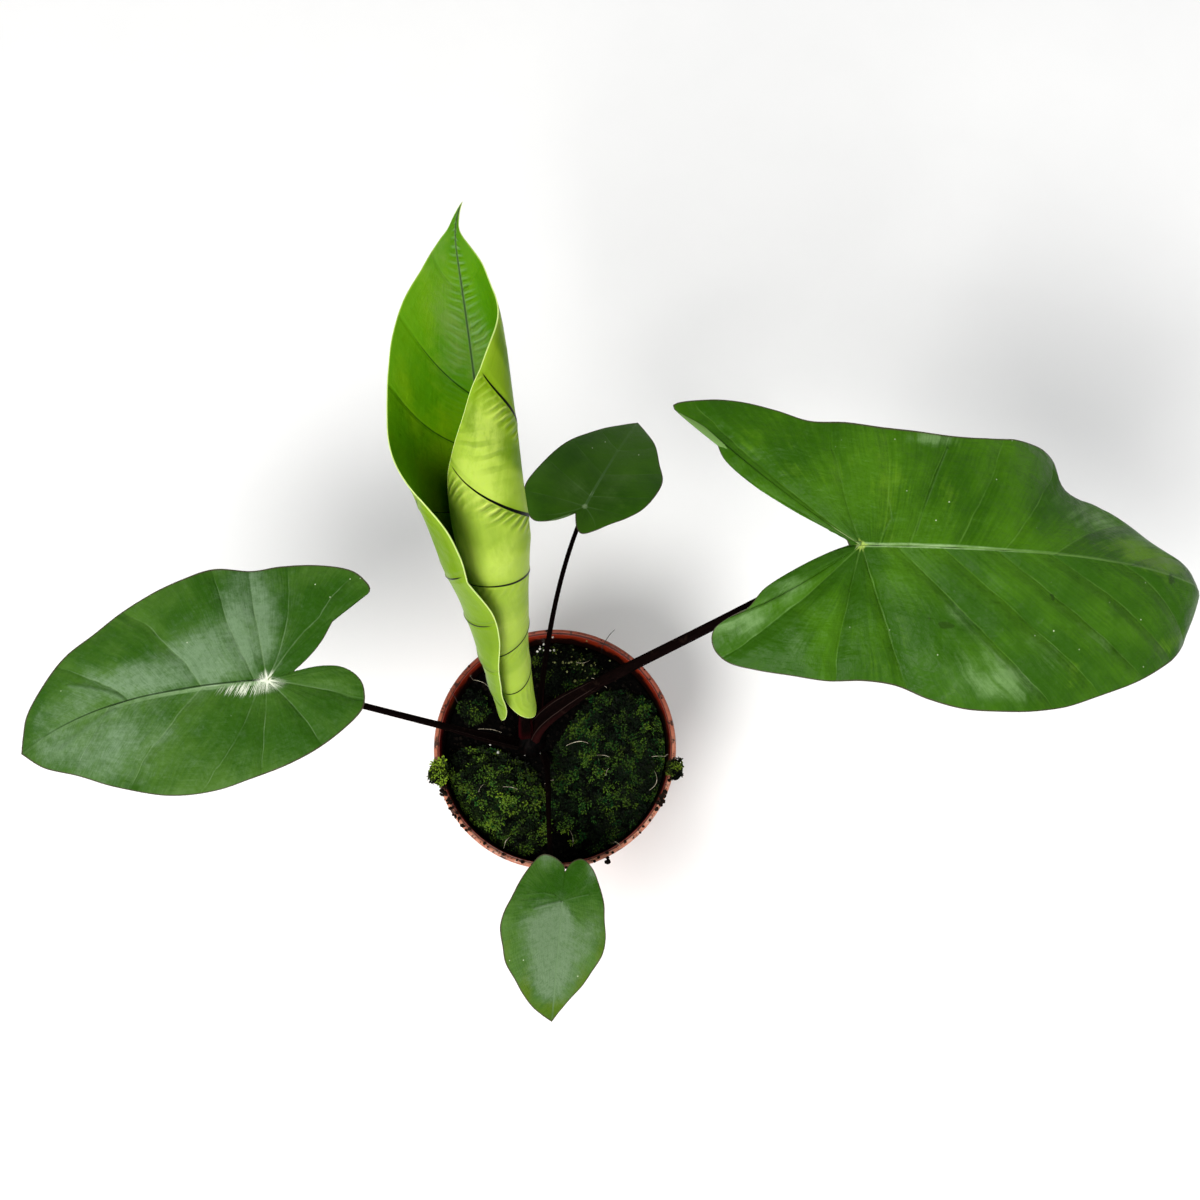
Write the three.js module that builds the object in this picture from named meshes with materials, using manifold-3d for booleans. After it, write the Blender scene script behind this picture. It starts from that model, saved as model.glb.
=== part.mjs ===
// Giant taro in a nursery pot. Millimetres, +Z up, +X to the right, +Y to the back.
// The pot stands on z = 0 with its axis on the origin.

import * as THREE from "three";
import { mergeVertices } from "three/addons/utils/BufferGeometryUtils.js";
import Module from "manifold-3d";

const wasm = await Module();
wasm.setup();

const DEG = Math.PI / 180;
const GAP = 0.3; // free space between neighbouring pieces
const WELD = 1e-3; // points closer than this are one point

// ---------------------------------------------------------------- sizes

const POT = {
  height: 110,
  rimRadius: 60,
  rimWidth: 3,
  collarHeight: 15,
  shoulderRadius: 56.6, // outside of the body just under the collar
  baseRadius: 43,
  wall: 1.4,
  baseThickness: 1.6,
  drainHoles: 6,
  drainRadius: 4.5,
  drainCircle: 30,
  facets: 48,
};

const SOIL = {
  level: 97,
  bump: 0.7, // height of the soil's unevenness either way
  rings: 6,
};

const STEM = { centre: [-12.7, 5.2], radius: 9.2, bottom: 70, top: 105, facets: 16 };

const BLADE_THICKNESS = 0.9;
const RIB_DEPTH = 1.3; // how far the midrib stands out under the junction
const RIB_HALF_WIDTH = 3;
const MIDRIB_STEP = 1; // the midrib is followed in steps of this length
const OUTLINE_STEPS = 400;

// A blade is drawn flat and then bent. u runs along the midrib from the junction with the
// petiole towards the tip, v outwards from the midrib. heading, pitch and roll are tables of
// [u, degrees]: heading counter-clockwise from +X, pitch above level, roll about the midrib.
// Each side has a fold angle at the midrib, a curl (1/mm) that bends it across, and the
// outline of its margin from the tip round to the notch between the lobes. fan is the u at
// which the last side vein that starts at the junction meets the margin. waves are
// [height, count along the margin, phase in turns].
const BLADES = {
  right: {
    junction: [126, 50, 300],
    span: [-90, 200],
    heading: [[0, -1], [90, -3], [160, -9]],
    pitch: [[-80, 8], [0, 2], [60, -6], [110, -20], [145, -38], [163, -84]],
    roll: 6,
    flat: 0,
    fan: 22,
    sweep: 0.16,
    rows: [16, 10],
    columns: 6,
    sides: [
      {
        fold: [[-80, 2], [50, 2], [62, -2], [74, -11], [86, -21], [98, -30], [110, -34]],
        curl: [[0, -0.003]],
        waves: [[1.6, 4, 0.1]],
        margin: [
          [183, 0], [170, 4.5], [159, 8.5], [148, 12], [139, 15], [131, 19], [125, 24],
          [118, 29], [111, 32], [103, 32.5], [94, 31], [88.5, 31.5], [85.5, 35], [85, 40.5],
          [84, 45.5], [79, 48], [72, 48], [64, 47.5], [50, 46], [36, 46], [22, 47], [8, 48],
          [-6, 50], [-20, 51], [-33, 56], [-47, 60], [-61, 61], [-75, 58], [-60, 47],
          [-54, 35], [-43, 25], [-31, 18], [-19, 10], [-7, 3], [-5, 0],
        ],
      },
      {
        fold: [[0, -2]],
        curl: [[0, -0.004]],
        waves: [[2, 4, 0.6]],
        margin: [
          [183, 0], [175, 8], [165, 18], [154, 26], [141, 36], [126, 46], [109, 54], [93, 60],
          [76, 63], [59, 64], [44, 64], [29, 61], [15, 56], [1, 54], [-13, 54], [-27, 52],
          [-41, 50], [-53, 47], [-59, 41], [-59, 34], [-53, 29], [-45, 25], [-38, 17],
          [-25, 9], [-13, 3], [-5, 0],
        ],
      },
    ],
    colour: 0x3c7a1e,
  },
  left: {
    junction: [-120, 9, 232],
    span: [-60, 130],
    heading: [[0, 184], [50, 190], [118, 212]],
    pitch: [[-60, 6], [0, 0], [60, -8], [120, -25]],
    roll: 0,
    flat: 0,
    fan: 16,
    sweep: 0.16,
    rows: [13, 9],
    columns: 6,
    sides: [
      {
        fold: [[0, 4]],
        curl: [[0, -0.004]],
        waves: [[1, 3, 0.2]],
        margin: [
          [117, 0], [109, 12], [94, 23], [79, 33], [60, 41], [42, 45], [25, 45], [10, 42],
          [-5, 38], [-19, 32], [-31, 24], [-40, 15], [-41, 6], [-38, 0], [-32, -4], [-25, -5],
          [-18, -4.5], [-11, -3],
        ],
      },
      {
        fold: [[0, 4]],
        curl: [[0, -0.004]],
        waves: [[1.2, 4, 0.5]],
        margin: [
          [117, 0], [112, 6], [106, 13], [94, 21], [82, 28], [70, 33], [58, 40], [47, 45],
          [33, 49], [20, 52], [6, 50], [-6, 51], [-22, 50], [-37, 47], [-44, 41], [-45, 37],
          [-41, 34], [-32, 29], [-24, 16], [-18, 9], [-11, 3],
        ],
      },
    ],
    colour: 0x35661f,
  },
  front: {
    junction: [4.8, -78.5, 148],
    span: [-40, 70],
    heading: [[0, -95]],
    pitch: [[-30, 14], [0, 0], [30, -12], [65, -34]],
    roll: -14,
    flat: 0,
    fan: 8,
    sweep: 0.16,
    rows: [8, 6],
    columns: 4,
    sides: [
      {
        fold: [[0, 6]],
        curl: [[0, -0.006]],
        waves: [[0.6, 3, 0]],
        margin: [
          [56, 0], [51, 3], [44, 8], [38, 13], [31, 17], [23, 21], [15, 22], [7, 21], [-1, 20],
          [-9, 17], [-17, 13], [-21, 8], [-19, 3], [-14, 0],
        ],
      },
      {
        fold: [[0, 6]],
        curl: [[0, -0.006]],
        waves: [[0.6, 3, 0.5]],
        margin: [
          [56, 0], [49, 9], [42, 15], [36, 19], [29, 24], [22, 26], [14, 28], [7, 27], [0, 24],
          [-7, 21], [-14, 17], [-20, 12], [-20, 6], [-17, 1], [-14, 0],
        ],
      },
    ],
    colour: 0x4a7434,
  },
  back: {
    junction: [15.4, 98, 195],
    span: [-40, 80],
    heading: [[0, 64]],
    pitch: [[-20, 2], [0, -12], [30, -27], [65, -42]],
    roll: -6,
    flat: 0,
    fan: 9,
    sweep: 0.16,
    rows: [8, 6],
    columns: 4,
    sides: [
      {
        fold: [[0, 4]],
        curl: [[0, -0.006]],
        waves: [[0.8, 3, 0.2]],
        margin: [
          [66, 0], [58, 6], [50, 13], [40, 19], [30, 24], [19, 28], [8, 30], [-2, 30],
          [-11, 26], [-16, 19], [-14, 13], [-9, 7], [-5, 2.5],
        ],
      },
      {
        fold: [[0, 4]],
        curl: [[0, -0.006]],
        waves: [[0.8, 3, 0.7]],
        margin: [
          [66, 0], [60, 6], [51, 14], [41, 20], [31, 26], [21, 27], [11, 25], [3, 20],
          [-3, 15], [-9, 10], [-13, 5], [-11, 1], [-5, -2.5],
        ],
      },
    ],
    colour: 0x2c5a1e,
  },
  new: {
    junction: [-18.9, 37.5, 257],
    span: [-90, 200],
    heading: [
      [-74, 100.7], [0, 96.2], [90, 94.8], [160, 98], [168, 93], [176, 73], [184, 48],
    ],
    pitch: [[-74, 70], [0, 62.3], [90, 51.8], [179, 44.2]],
    roll: 0,
    flat: 1.2, // the strip beside the midrib that stays straight before the roll starts
    fan: 26,
    sweep: 0.14,
    rows: [20, 12],
    columns: 10,
    sides: [
      {
        fold: [[0, 5]],
        curl: [
          [-74, 0.1127], [-30, 0.095], [10, 0.0692], [50, 0.0476], [90, 0.0351],
          [130, 0.0174], [178, 0.0093],
        ],
        waves: [[0.8, 4, 0.1]],
        margin: [
          [183, 0], [177, 1.3], [172, 3], [168, 6.5], [160, 13.5], [150, 22], [138, 28.5],
          [126, 33], [112, 40.5], [98, 54.5], [84, 64], [66, 61], [46, 53.5], [26, 49],
          [8, 43], [-14, 33.5], [-36, 27.5], [-50, 26], [-60, 23], [-67, 18], [-70, 12],
          [-64, 8], [-50, 6], [-36, 4], [-20, 3], [-7, 0],
        ],
      },
      {
        fold: [[0, 5]],
        curl: [
          [-74, 0.1487], [-30, 0.1294], [10, 0.0898], [50, 0.0644], [90, 0.0687],
          [130, 0.075], [178, 0.0998],
        ],
        waves: [],
        margin: [
          [183, 0], [177, 0.7], [172, 1.5], [167, 4.5], [160, 9.5], [152, 13.5], [146, 20.5],
          [138, 31.5], [126, 41.5], [112, 48.5], [98, 55.5], [82, 62.5], [64, 64.5],
          [44, 61], [24, 53.5], [4, 45], [-18, 38], [-38, 33.5], [-50, 30], [-60, 25],
          [-68, 19], [-71, 14], [-64, 10], [-50, 7], [-36, 4], [-20, 3], [-7, 0],
        ],
      },
    ],
    colour: 0x84b02c,
  },
};

// Petioles: a cubic curve out of the stem base, half width and half depth at the foot and
// at the top, how far up the sheath reaches, how much its wings widen the petiole and how
// deep the channel between them is.
const PETIOLES = {
  right: {
    curve: [[-11, 5, 88], [-14.7, 16.4, 140], [46.4, 12.7, 250]],
    foot: [3.9, 3.4],
    top: [1.9, 1.8],
    sheath: 0.48,
    wing: 1.8,
    channel: 0.45,
  },
  new: {
    curve: [[-15.5, 6, 86], [-12, 8, 140], [-14, 29, 205]],
    foot: [3.4, 3.2],
    top: [2.4, 2.2],
    sheath: 0.3,
    wing: 0.6,
    channel: 0.15,
  },
  left: {
    curve: [[-16, 5, 84], [-24.5, -0.5, 130], [-49, -4.8, 200]],
    foot: [2.6, 2.3],
    top: [1.3, 1.3],
    sheath: 0.53,
    wing: 0.9,
    channel: 0.35,
  },
  back: {
    curve: [[-11, 8, 86], [-5.4, 20.3, 125], [-4.2, 56.4, 172]],
    foot: [1.8, 1.6],
    top: [1, 1],
    sheath: 0.3,
    wing: 0.6,
    channel: 0.2,
  },
  front: {
    curve: [[-10, 2, 86], [2.7, -3.3, 118], [-7.4, -46.8, 140]],
    foot: [1.8, 1.6],
    top: [1, 1],
    sheath: 0.3,
    wing: 0.6,
    channel: 0.2,
  },
};
const PETIOLE_RINGS = 16;
const PETIOLE_SIDES = 12;
const WING_TAPER = 3; // a wing reaches its full width a third of the way down the sheath
const CHANNEL_SPREAD = 30; // degrees round the section from the channel's middle
const PETIOLE_ROOM = GAP + 0.05; // other pieces keep this far from a petiole
const PETIOLE_COLOUR = 0x1d1512;

// Moss cushions: centre, reach from it in eight directions from +X round, and height.
const MOSS = {
  moss_front_left: { centre: [-28, -26], reach: [23, 23, 25, 33, 27, 27, 29, 31], height: 10 },
  moss_right: { centre: [31, -8], reach: [27, 35, 38, 32, 33, 42, 44, 34], height: 8.5 },
  moss_back: { centre: [10, 37], reach: [13, 14, 16, 24, 19, 13, 10, 12], height: 4 },
  moss_back_left: { centre: [-42, 21], reach: [8, 9, 11, 9, 7, 6, 7, 8], height: 4.5 },
  moss_rim_left: { centre: [-57.5, -13], reach: [4, 4, 6, 6, 5, 6, 7, 5], height: 4, base: POT.height },
  moss_rim_right: { centre: [59, -11], reach: [5, 5, 6, 4, 4, 4, 7, 6], height: 4, base: POT.height },
};
const MOSS_EDGE = 1.4; // height of a cushion's side
const LARGE_CUSHION = 6; // higher cushions get more facets
const MOSS_COLOUR = 0x35521a;

// ---------------------------------------------------------------- solids and booleans

// Joins coincident points and leaves out triangles that have shrunk to a line.
function weld(geometry) {
  const bare = new THREE.BufferGeometry();
  bare.setAttribute("position", geometry.getAttribute("position"));
  if (geometry.index) {
    bare.setIndex(geometry.index);
  }
  const merged = mergeVertices(bare, WELD);
  const index = merged.index.array;
  const kept = [];
  for (let i = 0; i < index.length; i += 3) {
    const [a, b, c] = [index[i], index[i + 1], index[i + 2]];
    if (a !== b && b !== c && c !== a) {
      kept.push(a, b, c);
    }
  }
  merged.setIndex(kept);
  return merged;
}

function fromLists(points, triangles) {
  const geometry = new THREE.BufferGeometry();
  geometry.setAttribute("position", new THREE.Float32BufferAttribute(points.flat(), 3));
  geometry.setIndex(triangles.flat());
  return weld(geometry);
}

function toManifold(geometry) {
  const welded = weld(geometry);
  return new wasm.Manifold(new wasm.Mesh({
    numProp: 3,
    vertProperties: new Float32Array(welded.getAttribute("position").array),
    triVerts: new Uint32Array(welded.index.array),
  }));
}

function toGeometry(manifold) {
  const mesh = manifold.getMesh();
  const geometry = new THREE.BufferGeometry();
  geometry.setAttribute("position", new THREE.Float32BufferAttribute(mesh.vertProperties, 3));
  geometry.setIndex(Array.from(mesh.triVerts));
  return weld(geometry);
}

function subtract(geometry, cutters) {
  let result = toManifold(geometry);
  for (const cutter of cutters) {
    result = result.subtract(toManifold(cutter));
  }
  return toGeometry(result);
}

// A profile of [radius, height] turned about the vertical axis.
function turned(profile, facets) {
  const lathe = new THREE.LatheGeometry(profile.map(([r, z]) => new THREE.Vector2(r, z)), facets);
  lathe.rotateX(90 * DEG);
  return weld(lathe);
}

function lookUp(table, x) {
  if (typeof table === "number") {
    return table;
  }
  if (x <= table[0][0]) {
    return table[0][1];
  }
  for (let i = 1; i < table.length; i += 1) {
    const [x0, y0] = table[i - 1];
    const [x1, y1] = table[i];
    if (x <= x1) {
      return y0 + ((y1 - y0) * (x - x0)) / (x1 - x0);
    }
  }
  return table[table.length - 1][1];
}

// ---------------------------------------------------------------- pot and soil

function innerRadius(z) {
  const slope = (POT.shoulderRadius - POT.baseRadius) / (POT.height - POT.collarHeight);
  return POT.baseRadius - POT.wall + slope * Math.min(z, POT.height - POT.collarHeight);
}

function pot() {
  const shoulder = POT.height - POT.collarHeight;
  const lipInner = POT.rimRadius - POT.rimWidth;
  const profile = [
    [0, 0],
    [POT.baseRadius - 1.5, 0],
    [POT.baseRadius, 1.5],
    [POT.shoulderRadius, shoulder],
    [POT.rimRadius - 1.2, shoulder + 0.6],
    [POT.rimRadius, POT.height - 1],
    [POT.rimRadius - 0.8, POT.height],
    [lipInner + 0.6, POT.height],
    [lipInner, POT.height - 0.8],
    [innerRadius(shoulder), shoulder - 2],
    [innerRadius(POT.baseThickness), POT.baseThickness],
    [0, POT.baseThickness],
  ];
  const drains = [];
  for (let i = 0; i < POT.drainHoles; i += 1) {
    const angle = (i * 360 * DEG) / POT.drainHoles;
    const drain = new THREE.CylinderGeometry(POT.drainRadius, POT.drainRadius, 10, 12);
    drain.rotateX(90 * DEG);
    drain.translate(POT.drainCircle * Math.cos(angle), POT.drainCircle * Math.sin(angle), 0);
    drains.push(drain);
  }
  return subtract(turned(profile, POT.facets), drains);
}

function unevenness(x, y) {
  return 0.6 * Math.sin(x / 6.3 + 1) * Math.cos(y / 5.7) + 0.4 * Math.sin(x / 4.1 + y / 4.9);
}

function soil(stems) {
  const points = [];
  const triangles = [];
  const topRadius = innerRadius(SOIL.level) - GAP;
  const n = POT.facets;
  const rings = SOIL.rings;
  points.push([0, 0, SOIL.level + SOIL.bump * unevenness(0, 0)]);
  for (let k = 1; k <= rings; k += 1) {
    const r = (topRadius * k) / rings;
    for (let i = 0; i < n; i += 1) {
      const x = r * Math.cos((i * 360 * DEG) / n);
      const y = r * Math.sin((i * 360 * DEG) / n);
      const fade = k === rings ? 0 : 1;
      points.push([x, y, SOIL.level + fade * SOIL.bump * unevenness(x, y)]);
    }
  }
  const bottomRadius = innerRadius(POT.baseThickness) - GAP;
  for (let i = 0; i < n; i += 1) {
    const angle = (i * 360 * DEG) / n;
    const z = POT.baseThickness + GAP;
    points.push([bottomRadius * Math.cos(angle), bottomRadius * Math.sin(angle), z]);
  }
  points.push([0, 0, POT.baseThickness + GAP]);
  const last = points.length - 1;
  for (let i = 0; i < n; i += 1) {
    const j = (i + 1) % n;
    triangles.push([0, 1 + i, 1 + j]);
    for (let k = 0; k < rings; k += 1) {
      const a = 1 + k * n;
      const b = a + n;
      triangles.push([a + i, b + i, b + j], [a + i, b + j, a + j]);
    }
    triangles.push([last, last - n + j, last - n + i]);
  }
  return subtract(fromLists(points, triangles), stems);
}

// ---------------------------------------------------------------- moss

// Rounded knobs all over a cushion, between 0 and 1.
function knobs(x, y) {
  const a = Math.sin(x / 2.3 + 0.9 * Math.sin(y / 3.7));
  const b = Math.sin(y / 2.1 + 0.8 * Math.sin(x / 4.3) + 1);
  return 0.5 + 0.25 * (a + b);
}

function mossCushion({ centre, reach, height, base = SOIL.level + SOIL.bump }, stems) {
  const large = height > LARGE_CUSHION;
  const sectors = large ? 24 : 12;
  const rings = large ? 6 : 3;
  const floor = base + GAP;
  const wallReach = innerRadius(SOIL.level) - 2 * GAP; // a cushion ends at the pot's wall
  const outline = new THREE.CatmullRomCurve3(
    reach.map((r, i) => new THREE.Vector3(
      r * Math.cos(i * 45 * DEG),
      r * Math.sin(i * 45 * DEG),
      0,
    )),
    true,
  );
  const points = [
    [centre[0], centre[1], floor + MOSS_EDGE + height],
    [centre[0], centre[1], floor],
  ];
  for (const top of [true, false]) {
    for (let k = 1; k <= rings; k += 1) {
      const share = k / rings;
      for (let i = 0; i < sectors; i += 1) {
        const edge = outline.getPoint(i / sectors);
        const far = new THREE.Vector2(centre[0] + edge.x, centre[1] + edge.y);
        if (base < POT.height) {
          far.clampLength(0, wallReach);
        }
        const x = centre[0] + share * (far.x - centre[0]);
        const y = centre[1] + share * (far.y - centre[1]);
        const dome = height * (1 - share ** 3) * (0.62 + 0.38 * knobs(x, y));
        points.push([x, y, top ? floor + MOSS_EDGE + dome : floor]);
      }
    }
  }
  const triangles = [];
  const upper = 2;
  const lower = 2 + rings * sectors;
  for (let i = 0; i < sectors; i += 1) {
    const j = (i + 1) % sectors;
    triangles.push([0, upper + i, upper + j], [1, lower + j, lower + i]);
    for (let k = 1; k < rings; k += 1) {
      const a = upper + (k - 1) * sectors;
      const b = a + sectors;
      const c = lower + (k - 1) * sectors;
      const d = c + sectors;
      triangles.push([a + i, b + i, b + j], [a + i, b + j, a + j]);
      triangles.push([c + i, d + j, d + i], [c + i, c + j, d + j]);
    }
    const u = upper + (rings - 1) * sectors;
    const l = lower + (rings - 1) * sectors;
    triangles.push([u + i, l + i, l + j], [u + i, l + j, u + j]);
  }
  return subtract(fromLists(points, triangles), stems);
}

// ---------------------------------------------------------------- stem base and petioles

function stemBase(clearance) {
  const { radius, bottom, top, facets } = STEM;
  const profile = [
    [0, bottom - clearance],
    [radius + clearance, bottom - clearance],
    [radius + clearance, top - 7],
    [radius - 1.6 + clearance, top - 2.6],
    [radius - 5 + clearance, top + clearance],
    [0, top + 0.6 + clearance],
  ];
  return turned(profile, facets).translate(STEM.centre[0], STEM.centre[1], 0);
}

// A tube of oval section with a channel along its upper side where it forms a sheath.
// Its top is cut off parallel to the blade, just under the midrib's swelling.
function petiole(name, clearance) {
  const { curve, foot, top, sheath, wing, channel } = PETIOLES[name];
  const frame = midribFrame(BLADES[name]).at(0);
  const below = BLADE_THICKNESS / 2 + RIB_DEPTH + GAP;
  const end = frame.point.clone().addScaledVector(frame.normal, -below);
  const path = new THREE.CubicBezierCurve3(
    new THREE.Vector3(...curve[0]),
    new THREE.Vector3(...curve[1]),
    new THREE.Vector3(...curve[2]),
    end,
  );
  const outwards = end.clone().sub(path.v0).setZ(0).normalize();
  const level = new THREE.Vector3(-outwards.y, outwards.x, 0);
  const points = [path.v0.toArray()];
  for (let k = 0; k <= PETIOLE_RINGS; k += 1) {
    const share = k / PETIOLE_RINGS;
    const centre = path.getPoint(share);
    const along = path.getTangent(share);
    const side = level.clone().addScaledVector(along, -level.dot(along)).normalize();
    const upper = side.clone().cross(along).negate();
    const slim = Math.sqrt(share);
    const within = Math.max(0, 1 - share / sheath);
    const flare = wing * Math.min(1, WING_TAPER * within);
    const halfWidth = foot[0] + (top[0] - foot[0]) * slim + flare + clearance;
    const halfDepth = foot[1] + (top[1] - foot[1]) * slim + clearance;
    const open = channel * Math.sqrt(within);
    for (let i = 0; i < PETIOLE_SIDES; i += 1) {
      const angle = ((i + 0.5) * 360 * DEG) / PETIOLE_SIDES;
      const dip = 1 - open * Math.exp(-(((angle / DEG - 90) / CHANNEL_SPREAD) ** 2));
      const point = centre.clone()
        .addScaledVector(side, halfWidth * Math.cos(angle))
        .addScaledVector(upper, halfDepth * dip * Math.sin(angle));
      if (k === PETIOLE_RINGS) {
        const excess = point.clone().sub(end).dot(frame.normal) / along.dot(frame.normal);
        point.addScaledVector(along, -excess);
      }
      points.push(point.toArray());
    }
  }
  points.push(end.toArray());
  const triangles = [];
  const last = points.length - 1;
  for (let i = 0; i < PETIOLE_SIDES; i += 1) {
    const j = (i + 1) % PETIOLE_SIDES;
    triangles.push([0, 1 + j, 1 + i]);
    for (let k = 0; k < PETIOLE_RINGS; k += 1) {
      const a = 1 + k * PETIOLE_SIDES;
      const b = a + PETIOLE_SIDES;
      triangles.push([a + i, a + j, b + j], [a + i, b + j, b + i]);
    }
    triangles.push([last, last - PETIOLE_SIDES + i, last - PETIOLE_SIDES + j]);
  }
  return fromLists(points, triangles);
}

// ---------------------------------------------------------------- blades

// Follows the midrib through space and gives the point and directions at any u.
function midribFrame(blade) {
  const [first, last] = blade.span;
  const count = Math.round((last - first) / MIDRIB_STEP);
  const stations = [];
  for (let i = 0; i <= count; i += 1) {
    const u = first + i * MIDRIB_STEP;
    const heading = lookUp(blade.heading, u) * DEG;
    const pitch = lookUp(blade.pitch, u) * DEG;
    const roll = lookUp(blade.roll, u) * DEG;
    const along = new THREE.Vector3(
      Math.cos(pitch) * Math.cos(heading),
      Math.cos(pitch) * Math.sin(heading),
      Math.sin(pitch),
    );
    const level = new THREE.Vector3(-Math.sin(heading), Math.cos(heading), 0);
    const above = along.clone().cross(level);
    const left = level.clone().multiplyScalar(Math.cos(roll))
      .addScaledVector(above, Math.sin(roll));
    const normal = above.clone().multiplyScalar(Math.cos(roll))
      .addScaledVector(level, -Math.sin(roll));
    const point = new THREE.Vector3();
    if (i > 0) {
      const before = stations[i - 1];
      point.copy(before.point)
        .addScaledVector(before.along, MIDRIB_STEP / 2)
        .addScaledVector(along, MIDRIB_STEP / 2);
    }
    stations.push({ point, along, left, normal });
  }
  const shift = new THREE.Vector3(...blade.junction)
    .sub(stations[Math.round(-first / MIDRIB_STEP)].point);
  for (const station of stations) {
    station.point.add(shift);
  }
  return {
    at(u) {
      const x = Math.min(Math.max((u - first) / MIDRIB_STEP, 0), count - 1e-6);
      const i = Math.floor(x);
      const [a, b] = [stations[i], stations[i + 1]];
      return {
        point: a.point.clone().lerp(b.point, x - i),
        left: a.left.clone().lerp(b.left, x - i),
        normal: a.normal.clone().lerp(b.normal, x - i),
      };
    },
  };
}

// The point of the bent blade at u along and v out from the midrib.
function bent(blade, frame, side, u, v, lift) {
  const { fold, curl } = blade.sides[side];
  const angle = lookUp(fold, u) * DEG;
  const k = lookUp(curl, u);
  const straight = Math.min(v, blade.flat);
  const turn = angle + k * Math.max(v - blade.flat, 0);
  const out = straight * Math.cos(angle) + (Math.sin(turn) - Math.sin(angle)) / k;
  const up = straight * Math.sin(angle) - (Math.cos(turn) - Math.cos(angle)) / k;
  const { point, left, normal } = frame.at(u);
  const direction = side === 0 ? 1 : -1;
  return point
    .addScaledVector(left, direction * (out - lift * Math.sin(turn)))
    .addScaledVector(normal, up + lift * Math.cos(turn));
}

// One half of the blade as rows of points: each row runs along a side vein from the midrib,
// or from the junction in the lobes, out to the margin.
function halfBlade(blade, frame, side) {
  const { rows, columns, fan, sweep } = blade;
  const [ahead, inLobe] = rows;
  const { margin, waves } = blade.sides[side];
  const outline = new THREE.SplineCurve(margin.map(([u, v]) => new THREE.Vector2(u, v)));
  outline.arcLengthDivisions = 40 * (margin.length - 1);
  const fine = outline.getSpacedPoints(OUTLINE_STEPS);
  const split = fine.findIndex((p) => p.x <= fan) / OUTLINE_STEPS;
  const result = [];
  for (let i = 0; i <= ahead + inLobe; i += 1) {
    const share = i < ahead
      ? (split * i) / ahead
      : split + ((1 - split) * (i - ahead)) / inLobe;
    const edge = outline.getPointAt(share);
    const forward = Math.max(0, 1 - i / ahead);
    const root = new THREE.Vector2(margin[0][0] * forward, 0);
    const length = root.distanceTo(edge);
    const bend = root.clone().add(edge).multiplyScalar(0.5);
    bend.x -= sweep * length * forward;
    const vein = new THREE.QuadraticBezierCurve(root, bend, edge);
    const rib = length > 0 ? Math.min(0.12, RIB_HALF_WIDTH / length) : 0;
    const row = [];
    for (let j = 0; j <= columns; j += 1) {
      const t = j === 0 ? 0 : rib + ((1 - rib) * (j - 1)) / (columns - 1);
      const { x, y } = vein.getPoint(t);
      let lift = 0;
      for (const [amount, count, phase] of waves) {
        const swing = Math.sin(360 * DEG * (count * share + phase));
        lift += amount * t * t * swing * Math.sin(180 * DEG * share);
      }
      const taper = Math.max(0, 1 - Math.max(root.x, 0) / margin[0][0]);
      row.push({
        point: bent(blade, frame, side, x, y, lift),
        rib: j === 0 ? RIB_DEPTH * taper : 0,
      });
    }
    result.push(row);
  }
  return result;
}

function blade(name) {
  const shape = BLADES[name];
  const frame = midribFrame(shape);
  const halves = [0, 1].map((side) => halfBlade(shape, frame, side));
  const junction = halves[0][shape.rows[0]][0];
  const last = shape.rows[0] + shape.rows[1];
  halves[1][last] = halves[0][last]; // both halves meet in the line to the notch
  halves.forEach((rows) => rows.forEach((row, i) => {
    row[0] = i < shape.rows[0] ? halves[0][i][0] : junction; // and along the midrib
  }));
  for (const rows of halves) {
    rows[0].fill(halves[0][0][0]); // the tip is a single point
  }
  const points = [];
  const ribs = [];
  const found = new Map();
  const number = (place) => {
    if (!found.has(place)) {
      found.set(place, points.length);
      points.push(place.point);
      ribs.push(place.rib);
    }
    return found.get(place);
  };
  const faces = [];
  const addFace = (a, b, c) => {
    if (a !== b && b !== c && c !== a) {
      faces.push([a, b, c]);
    }
  };
  halves.forEach((rows, side) => {
    const numbers = rows.map((row) => row.map(number));
    for (let i = 0; i < last; i += 1) {
      for (let j = 0; j < shape.columns; j += 1) {
        const [a, b] = [numbers[i][j], numbers[i][j + 1]];
        const [c, d] = [numbers[i + 1][j], numbers[i + 1][j + 1]];
        if (side === 0) {
          addFace(a, b, d);
          addFace(a, d, c);
        } else {
          addFace(a, d, b);
          addFace(a, c, d);
        }
      }
    }
  });
  return thickened(points, ribs, faces);
}

// A sheet given a thickness: both faces have the same triangles, joined round the margin.
function thickened(points, ribs, faces) {
  const normals = points.map(() => new THREE.Vector3());
  const edges = new Map();
  for (const [a, b, c] of faces) {
    const normal = points[b].clone().sub(points[a]).cross(points[c].clone().sub(points[a]));
    for (const i of [a, b, c]) {
      normals[i].add(normal);
    }
    for (const [from, to] of [[a, b], [b, c], [c, a]]) {
      edges.set(`${from},${to}`, [from, to]);
    }
  }
  const upper = [];
  const lower = [];
  points.forEach((point, i) => {
    const normal = normals[i].normalize();
    upper.push(point.clone().addScaledVector(normal, BLADE_THICKNESS / 2).toArray());
    lower.push(point.clone().addScaledVector(normal, -BLADE_THICKNESS / 2 - ribs[i]).toArray());
  });
  const n = points.length;
  const triangles = [];
  for (const [a, b, c] of faces) {
    triangles.push([a, b, c], [n + a, n + c, n + b]);
  }
  for (const [from, to] of edges.values()) {
    if (!edges.has(`${to},${from}`)) {
      triangles.push([from, n + to, to], [from, n + from, n + to]);
    }
  }
  return fromLists([...upper, ...lower], triangles);
}

// ---------------------------------------------------------------- assembly

const group = new THREE.Group();
group.name = "giant_taro";

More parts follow.
